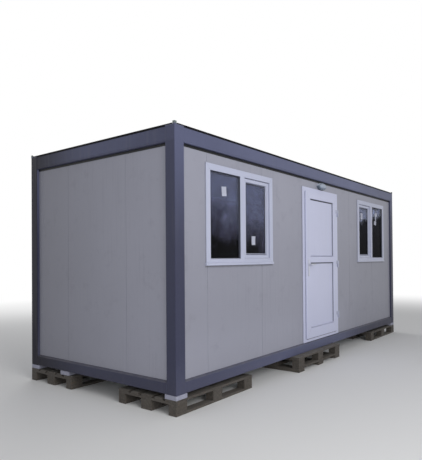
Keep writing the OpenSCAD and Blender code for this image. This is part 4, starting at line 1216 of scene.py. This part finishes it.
# Door: wedges, drip beads and seals of the leaf and its panels, sealant round the frame
leaf = node_box("door_leaf")
door_seals = []
door_wedges = []
drip_beads = []
for panel in solids("door_panels"):
    sight = sight_of(panel)
    # Painted shadow: a black strip under the top of each panel; the pale wedges line the panel's reveal at
    # its sides and top, partly as painted shade
    head_shade_strip = sight._replace(y0=panel.y0 - HEAD_SHADE_STRIP_T, y1=panel.y0, z0=sight.z1 - HEAD_SHADE_STRIP_H)
    door_wedges.append(wedge_mesh(panel, leaf.y0))
    drip_bead = sight._replace(y0=leaf.y0 + CLEARANCE, y1=panel.y0, z1=sight.z0 + DRIP_BEAD_H)
    door_seals += [inside_seal(panel), block_mesh([grown(head_shade_strip, x=-WEDGE_T)], BAR_EDGE)]
    drip_beads.append(ramp_mesh(drip_bead))
seal_y = leaf.y0 + LEAF_LIP_T + LEAF_SEAL_GAP
leaf_line = grown(leaf, x=-LEAF_SEAL_IN, z=-LEAF_SEAL_IN)
# The foot seal under the leaf is a sweep seal, dark also as painted shade under the leaf
foot_seal_and_shade = Box(leaf.x0 + FOOT_SEAL_IN, leaf.x1 - FOOT_SEAL_IN, seal_y, seal_y + FOOT_SEAL_T,
                leaf.z0 - FOOT_SEAL_DOWN, leaf.z0 + FOOT_SEAL_UP)
door_seals += [seal_mesh(leaf_line, seal_y + SEAL_R, SEAL_R, BLACK_RUBBER), block_mesh([foot_seal_and_shade])]
piece("door_panel_wedges_and_reveal_shade", joined(door_wedges), "door", material=DOOR_WEDGE_AND_REVEAL_SHADE, smooth=True)
piece("door_drip_beads", joined(drip_beads), "door", material=WHITE_PLASTIC, round_by=BAR_EDGE)
piece("door_leaf_seals_and_shade_strips", joined(door_seals), "door", material=BLACK_RUBBER, smooth=True)
sealant("door_frame_sealant", node_box("door_frame"))

# Steel frame: weld beads where rails and beams meet the posts
cabin = box_of([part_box("post_front_left")[0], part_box("post_rear_right")[1]])
beam = node_box("roof_beam_front")
rail = node_box("floor_rail_front")
seams = []
for z0, z1 in ((rail.z0 + BEAM_BEND, rail.z0 + RAIL_FACE_H), (beam.z0 + BEAM_BEND, beam.z1 - BEAM_BEND)):
    for x in (cabin.x0 + POST_W - WELD_IN, cabin.x1 - POST_W + WELD_IN):
        for y in (cabin.y0 + WELD_R, cabin.y1 - WELD_R):
            seams += [(x, y, z0), (x, y, z1)]
    for y in (cabin.y0 + POST_W - WELD_IN, cabin.y1 - POST_W + WELD_IN):
        for x in (cabin.x0 + WELD_R, cabin.x1 - WELD_R):
            seams += [(x, y, z0), (x, y, z1)]
seam_lines = loose_mesh(seams, [(i, i + 1) for i in range(0, len(seams), 2)])
welds = made_by(WELD_SEAM, seam_lines, Radius=WELD_R, Step=WELD_STEP, Material=STEEL)
piece("frame_weld_beads", joined([welds]), smooth=True)

# Cover strips: rivets down the middle of each strip beside the posts
wall = node_box("front_wall_left")
rivet_step = (wall.z1 - wall.z0 - 2 * RIVET_END) / (RIVET_COUNT - 1)
rivet_heights = [wall.z0 + RIVET_END + i * rivet_step for i in range(RIVET_COUNT)]
strip_x = [cabin.x0 + POST_W + STRIP_W / 2, cabin.x1 - POST_W - STRIP_W / 2]
strip_y = [cabin.y0 + POST_W + STRIP_W / 2, cabin.y1 - POST_W - STRIP_W / 2]
rear_y = node_box("rear_wall").y1
left_x = node_box("end_wall_left").x0
right_x = node_box("end_wall_right").x1
for side, places, turn in (
        ("front", [(x, wall.y0) for x in strip_x], (QUARTER, 0.0, 0.0)),
        ("rear", [(x, rear_y) for x in strip_x], (-QUARTER, 0.0, 0.0)),
        ("left", [(left_x, y) for y in strip_y], (0.0, -QUARTER, 0.0)),
        ("right", [(right_x, y) for y in strip_y], (0.0, QUARTER, 0.0))):
    points = loose_mesh([(x, y, z) for x, y in places for z in rivet_heights])
    rivets = made_by(FIXINGS, points, Head_radius=0.0035, Head_height=0.002, Head_sides=12,
                     Washer_radius=0.0055, Washer_height=0.001, Turn=turn, Material=RIVET_PAINT)
    piece(side + "_strip_rivets", joined([rivets]), smooth=True)

# Roof: lips of the dark trim on the faces of the beams
lip_z = (beam.z1 - TRIM_LIP_H, beam.z1 + TRIM_LIP_RISE)
lip_y = ((cabin.y0 + TRIM_LIP_IN, cabin.y0 + BAR_SETBACK), (cabin.y1 - BAR_SETBACK, cabin.y1 - TRIM_LIP_IN))
lip_x = ((cabin.x0 + TRIM_LIP_IN, cabin.x0 + BAR_SETBACK), (cabin.x1 - BAR_SETBACK, cabin.x1 - TRIM_LIP_IN))
lips = [Box(cabin.x0 + POST_W, cabin.x1 - POST_W, *depths, *lip_z) for depths in lip_y]
lips += [Box(*sides, cabin.y0 + POST_W, cabin.y1 - POST_W, *lip_z) for sides in lip_x]
piece("roof_trim_lips", block_mesh(lips, TRIM_LIP_EDGE), material=DARK_TRIM)

# Roof: a screw with its washer where each rib crosses a purlin
roof = node_box("roof_sheet")
pitch = (roof.y1 - roof.y0) / RIB_COUNT
crests = [roof.y0 + (i + 0.5) * pitch for i in range(RIB_COUNT)]
crossings = loose_mesh([(middle(purlin).x, y, roof.z1) for purlin in solids("roof_purlins") for y in crests])
roof_screws = made_by(FIXINGS, crossings, Head_radius=0.0045, Head_height=0.0055, Washer_radius=0.009,
                      Washer_height=0.0025, Material=SCREW_ZINC)
piece("roof_screws", joined([roof_screws]), smooth=True)


def pallet_mesh(box, seed):
    """Pallet: five deck boards on three cross boards, nine blocks and three skid boards"""
    low = box.z1 - PALLET_H
    length, width, _ = span(box)
    centre = middle(box)
    deck_step = (width - PALLET_WIDE) / 4
    block_step = (length - PALLET_WIDE) / 2
    first_x = box.x0 + PALLET_WIDE / 2
    first_y = box.y0 + PALLET_WIDE / 2
    edge_y = (box.y0 + PALLET_NARROW / 2, box.y1 - PALLET_NARROW / 2)
    deck_z = box.z1 - PALLET_BOARD_T / 2
    cross_z = deck_z - PALLET_BOARD_T
    skid_z = low + PALLET_BOARD_T / 2
    block_z = low + PALLET_BOARD_T + PALLET_BLOCK_H / 2
    wide_board = (length, PALLET_WIDE, PALLET_BOARD_T)
    narrow_board = (length, PALLET_NARROW, PALLET_BOARD_T)
    cross_board = (PALLET_WIDE, width, PALLET_BOARD_T)
    middle_block = (PALLET_WIDE, PALLET_WIDE, PALLET_BLOCK_H)
    edge_block = (PALLET_WIDE, PALLET_NARROW, PALLET_BLOCK_H)
    long_boards = {"Cuts_X": 14, "Cuts_Y": 4, "Material": TIMBER_X}
    cross_boards = {"Cuts_X": 4, "Cuts_Y": 12, "Material": TIMBER_Y}
    blocks = {"Cuts_X": 4, "Cuts_Y": 4, "Turn": 0.02, "Rough": 0.002, "Material": TIMBER_BLOCK}
    rows = (
        (3, (centre.x, first_y, deck_z), (0, 2 * deck_step, 0), wide_board, long_boards),
        (2, (centre.x, first_y + deck_step, deck_z), (0, 2 * deck_step, 0), narrow_board, long_boards),
        (3, (first_x, centre.y, cross_z), (block_step, 0, 0), cross_board, cross_boards),
        (2, (centre.x, edge_y[0], skid_z), (0, edge_y[1] - edge_y[0], 0), narrow_board, long_boards),
        (1, (centre.x, centre.y, skid_z), (0, 0, 0), wide_board, long_boards),
        (3, (first_x, edge_y[0], block_z), (block_step, 0, 0), edge_block, blocks),
        (3, (first_x, centre.y, block_z), (block_step, 0, 0), middle_block, blocks),
        (3, (first_x, edge_y[1], block_z), (block_step, 0, 0), edge_block, blocks))
    boards = []
    for number, (count, first, step, size, kind) in enumerate(rows, 1):
        boards.append(made_by(BOARD_ROW, Count=count, First=first, Step=step, Size=size,
                              Seed=seed * SEEDS_PER_PALLET + number, **kind))
    return joined(boards)


def pallets(side, seed):
    """Three pallets of one long side, and the levelling boards under the middle one"""
    node = side + "_pallets"
    for i, (place, box) in enumerate(zip(("left", "middle", "right"), solids(node))):
        mesh = keep_inside(pallet_mesh(box, seed + i), box)
        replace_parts(piece(f"{side}_{place}_pallet", mesh, round_by=PALLET_EDGE), node)
        if place == "middle":
            length, width, _ = span(box)
            spare = box.z1 - PALLET_H
            boards = made_by(BOARD_ROW, Count=3, First=(box.x0 + PALLET_WIDE / 2, middle(box).y, spare / 2),
                             Step=((length - PALLET_WIDE) / 2, 0, 0), Size=(PALLET_WIDE, width, spare),
                             Cuts_X=4, Cuts_Y=12, Seed=seed + LEVELLING_SEED, Material=TIMBER_Y)
            mesh = keep_inside(joined([boards]), box._replace(z1=spare))
            levelling = piece(f"{side}_levelling_boards", mesh, round_by=LEVELLING_EDGE)
            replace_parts(levelling, node)


pallets("front", 3)
pallets("rear", 23)

# Packers between the steel frame and the pallets
for i, box in enumerate(solids("corner_packers")):
    block = made_by(BOARD_ROW, Count=1, First=tuple(middle(box)), Size=span(box), Cuts_X=9, Cuts_Y=9,
                    Turn=0.0, Rough=0.006, Seed=PACKER_SEED + i, Material=PACKER)
    mesh = keep_inside(joined([block]), box)
    packer = piece(f"corner_packer_{i + 1}", mesh, round_by=PACKER_EDGE)
    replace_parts(packer, "corner_packers")


# Stage, light and camera
def background_share(graph):
    """One for rays that should see the white background"""
    rays = graph.add("ShaderNodeLightPath").outputs
    return graph.most(rays["Is Camera Ray"], rays["Is Glossy Ray"], rays["Is Transmission Ray"])


def lay_floor(radius=40.0, near=5.5, far=13.0):
    """Pale floor that turns into the white background with distance"""
    bm = bmesh.new()
    bmesh.ops.create_circle(bm, cap_ends=True, segments=96, radius=radius)
    mesh = mesh_of(bm, "floor")
    floor = bpy.data.objects.new("floor", mesh)
    scene.collection.objects.link(floor)
    material = bpy.data.materials.new("pale_floor")
    material.use_nodes = True
    material.node_tree.nodes.clear()
    graph = Graph(material.node_tree)
    seen = background_share(graph)
    colour = graph.mix(seen, (0.78, 0.78, 0.78, 1.0), (0.80, 0.80, 0.80, 1.0))
    plain = graph.first("ShaderNodeBsdfDiffuse", {"Color": colour})
    white = graph.first("ShaderNodeEmission", {"Color": WHITE, "Strength": 1.0})
    distance = graph.add("ShaderNodeVectorMath", {0: graph.place()}, operation="LENGTH").outputs["Value"]
    fade = graph.times(graph.step(distance, near, far), seen)
    surface = graph.first("ShaderNodeMixShader", {0: fade, 1: plain, 2: white})
    graph.add("ShaderNodeOutputMaterial", {"Surface": surface})
    mesh.materials.append(material)


def light_world(level):
    """Even studio light on the object, and white where the camera and reflections look"""
    world = bpy.data.worlds.new("studio")
    scene.world = world
    world.use_nodes = True
    world.node_tree.nodes.clear()
    graph = Graph(world.node_tree)
    soft = graph.first("ShaderNodeBackground", {"Color": (0.97, 0.98, 1.0, 1.0), "Strength": level})
    white = graph.first("ShaderNodeBackground", {"Color": WHITE, "Strength": 1.0})
    surface = graph.first("ShaderNodeMixShader", {0: background_share(graph), 1: soft, 2: white})
    graph.add("ShaderNodeOutputWorld", {"Surface": surface})


def soft_light(name, place, target, size, power):
    """Square area light that looks at a target"""
    data = bpy.data.lights.new(name, "AREA")
    data.shape = "SQUARE"
    data.size = size
    data.energy = power
    lamp = bpy.data.objects.new(name, data)
    scene.collection.objects.link(lamp)
    lamp.location = place
    lamp.rotation_euler = (Vector(target) - Vector(place)).to_track_quat("-Z", "Y").to_euler()
    lamp.visible_glossy = False
    lamp.visible_camera = False


def set_camera():
    """Camera of the photograph, from its fitted place, directions and focal length"""
    yaw, pitch, roll = CAMERA_YAW, CAMERA_PITCH, CAMERA_ROLL
    forward = Vector((math.sin(yaw) * math.cos(pitch), math.cos(yaw) * math.cos(pitch), math.sin(pitch)))
    level = Vector((math.cos(yaw), -math.sin(yaw), 0.0))
    down = forward.cross(level)
    right = math.cos(roll) * level + math.sin(roll) * down
    down = math.cos(roll) * down - math.sin(roll) * level
    data = bpy.data.cameras.new("camera")
    data.sensor_width = SENSOR_MM
    data.lens = FOCAL_PX / PICTURE_H * SENSOR_MM
    data.shift_x = (PICTURE_W / 2 - CENTRE_PX[0]) / PICTURE_H
    data.shift_y = (CENTRE_PX[1] - PICTURE_H / 2) / PICTURE_H
    data.clip_end = 200.0
    camera = bpy.data.objects.new("camera", data)
    scene.collection.objects.link(camera)
    turn = Matrix((right, -down, -forward)).transposed().to_4x4()
    camera.matrix_world = Matrix.Translation(CAMERA_PLACE) @ turn
    scene.camera = camera


lay_floor()
light_world(WORLD_LEVEL)
for light in SOFT_LIGHTS:
    soft_light(*light)
set_camera()
scene.view_settings.view_transform = "Standard"
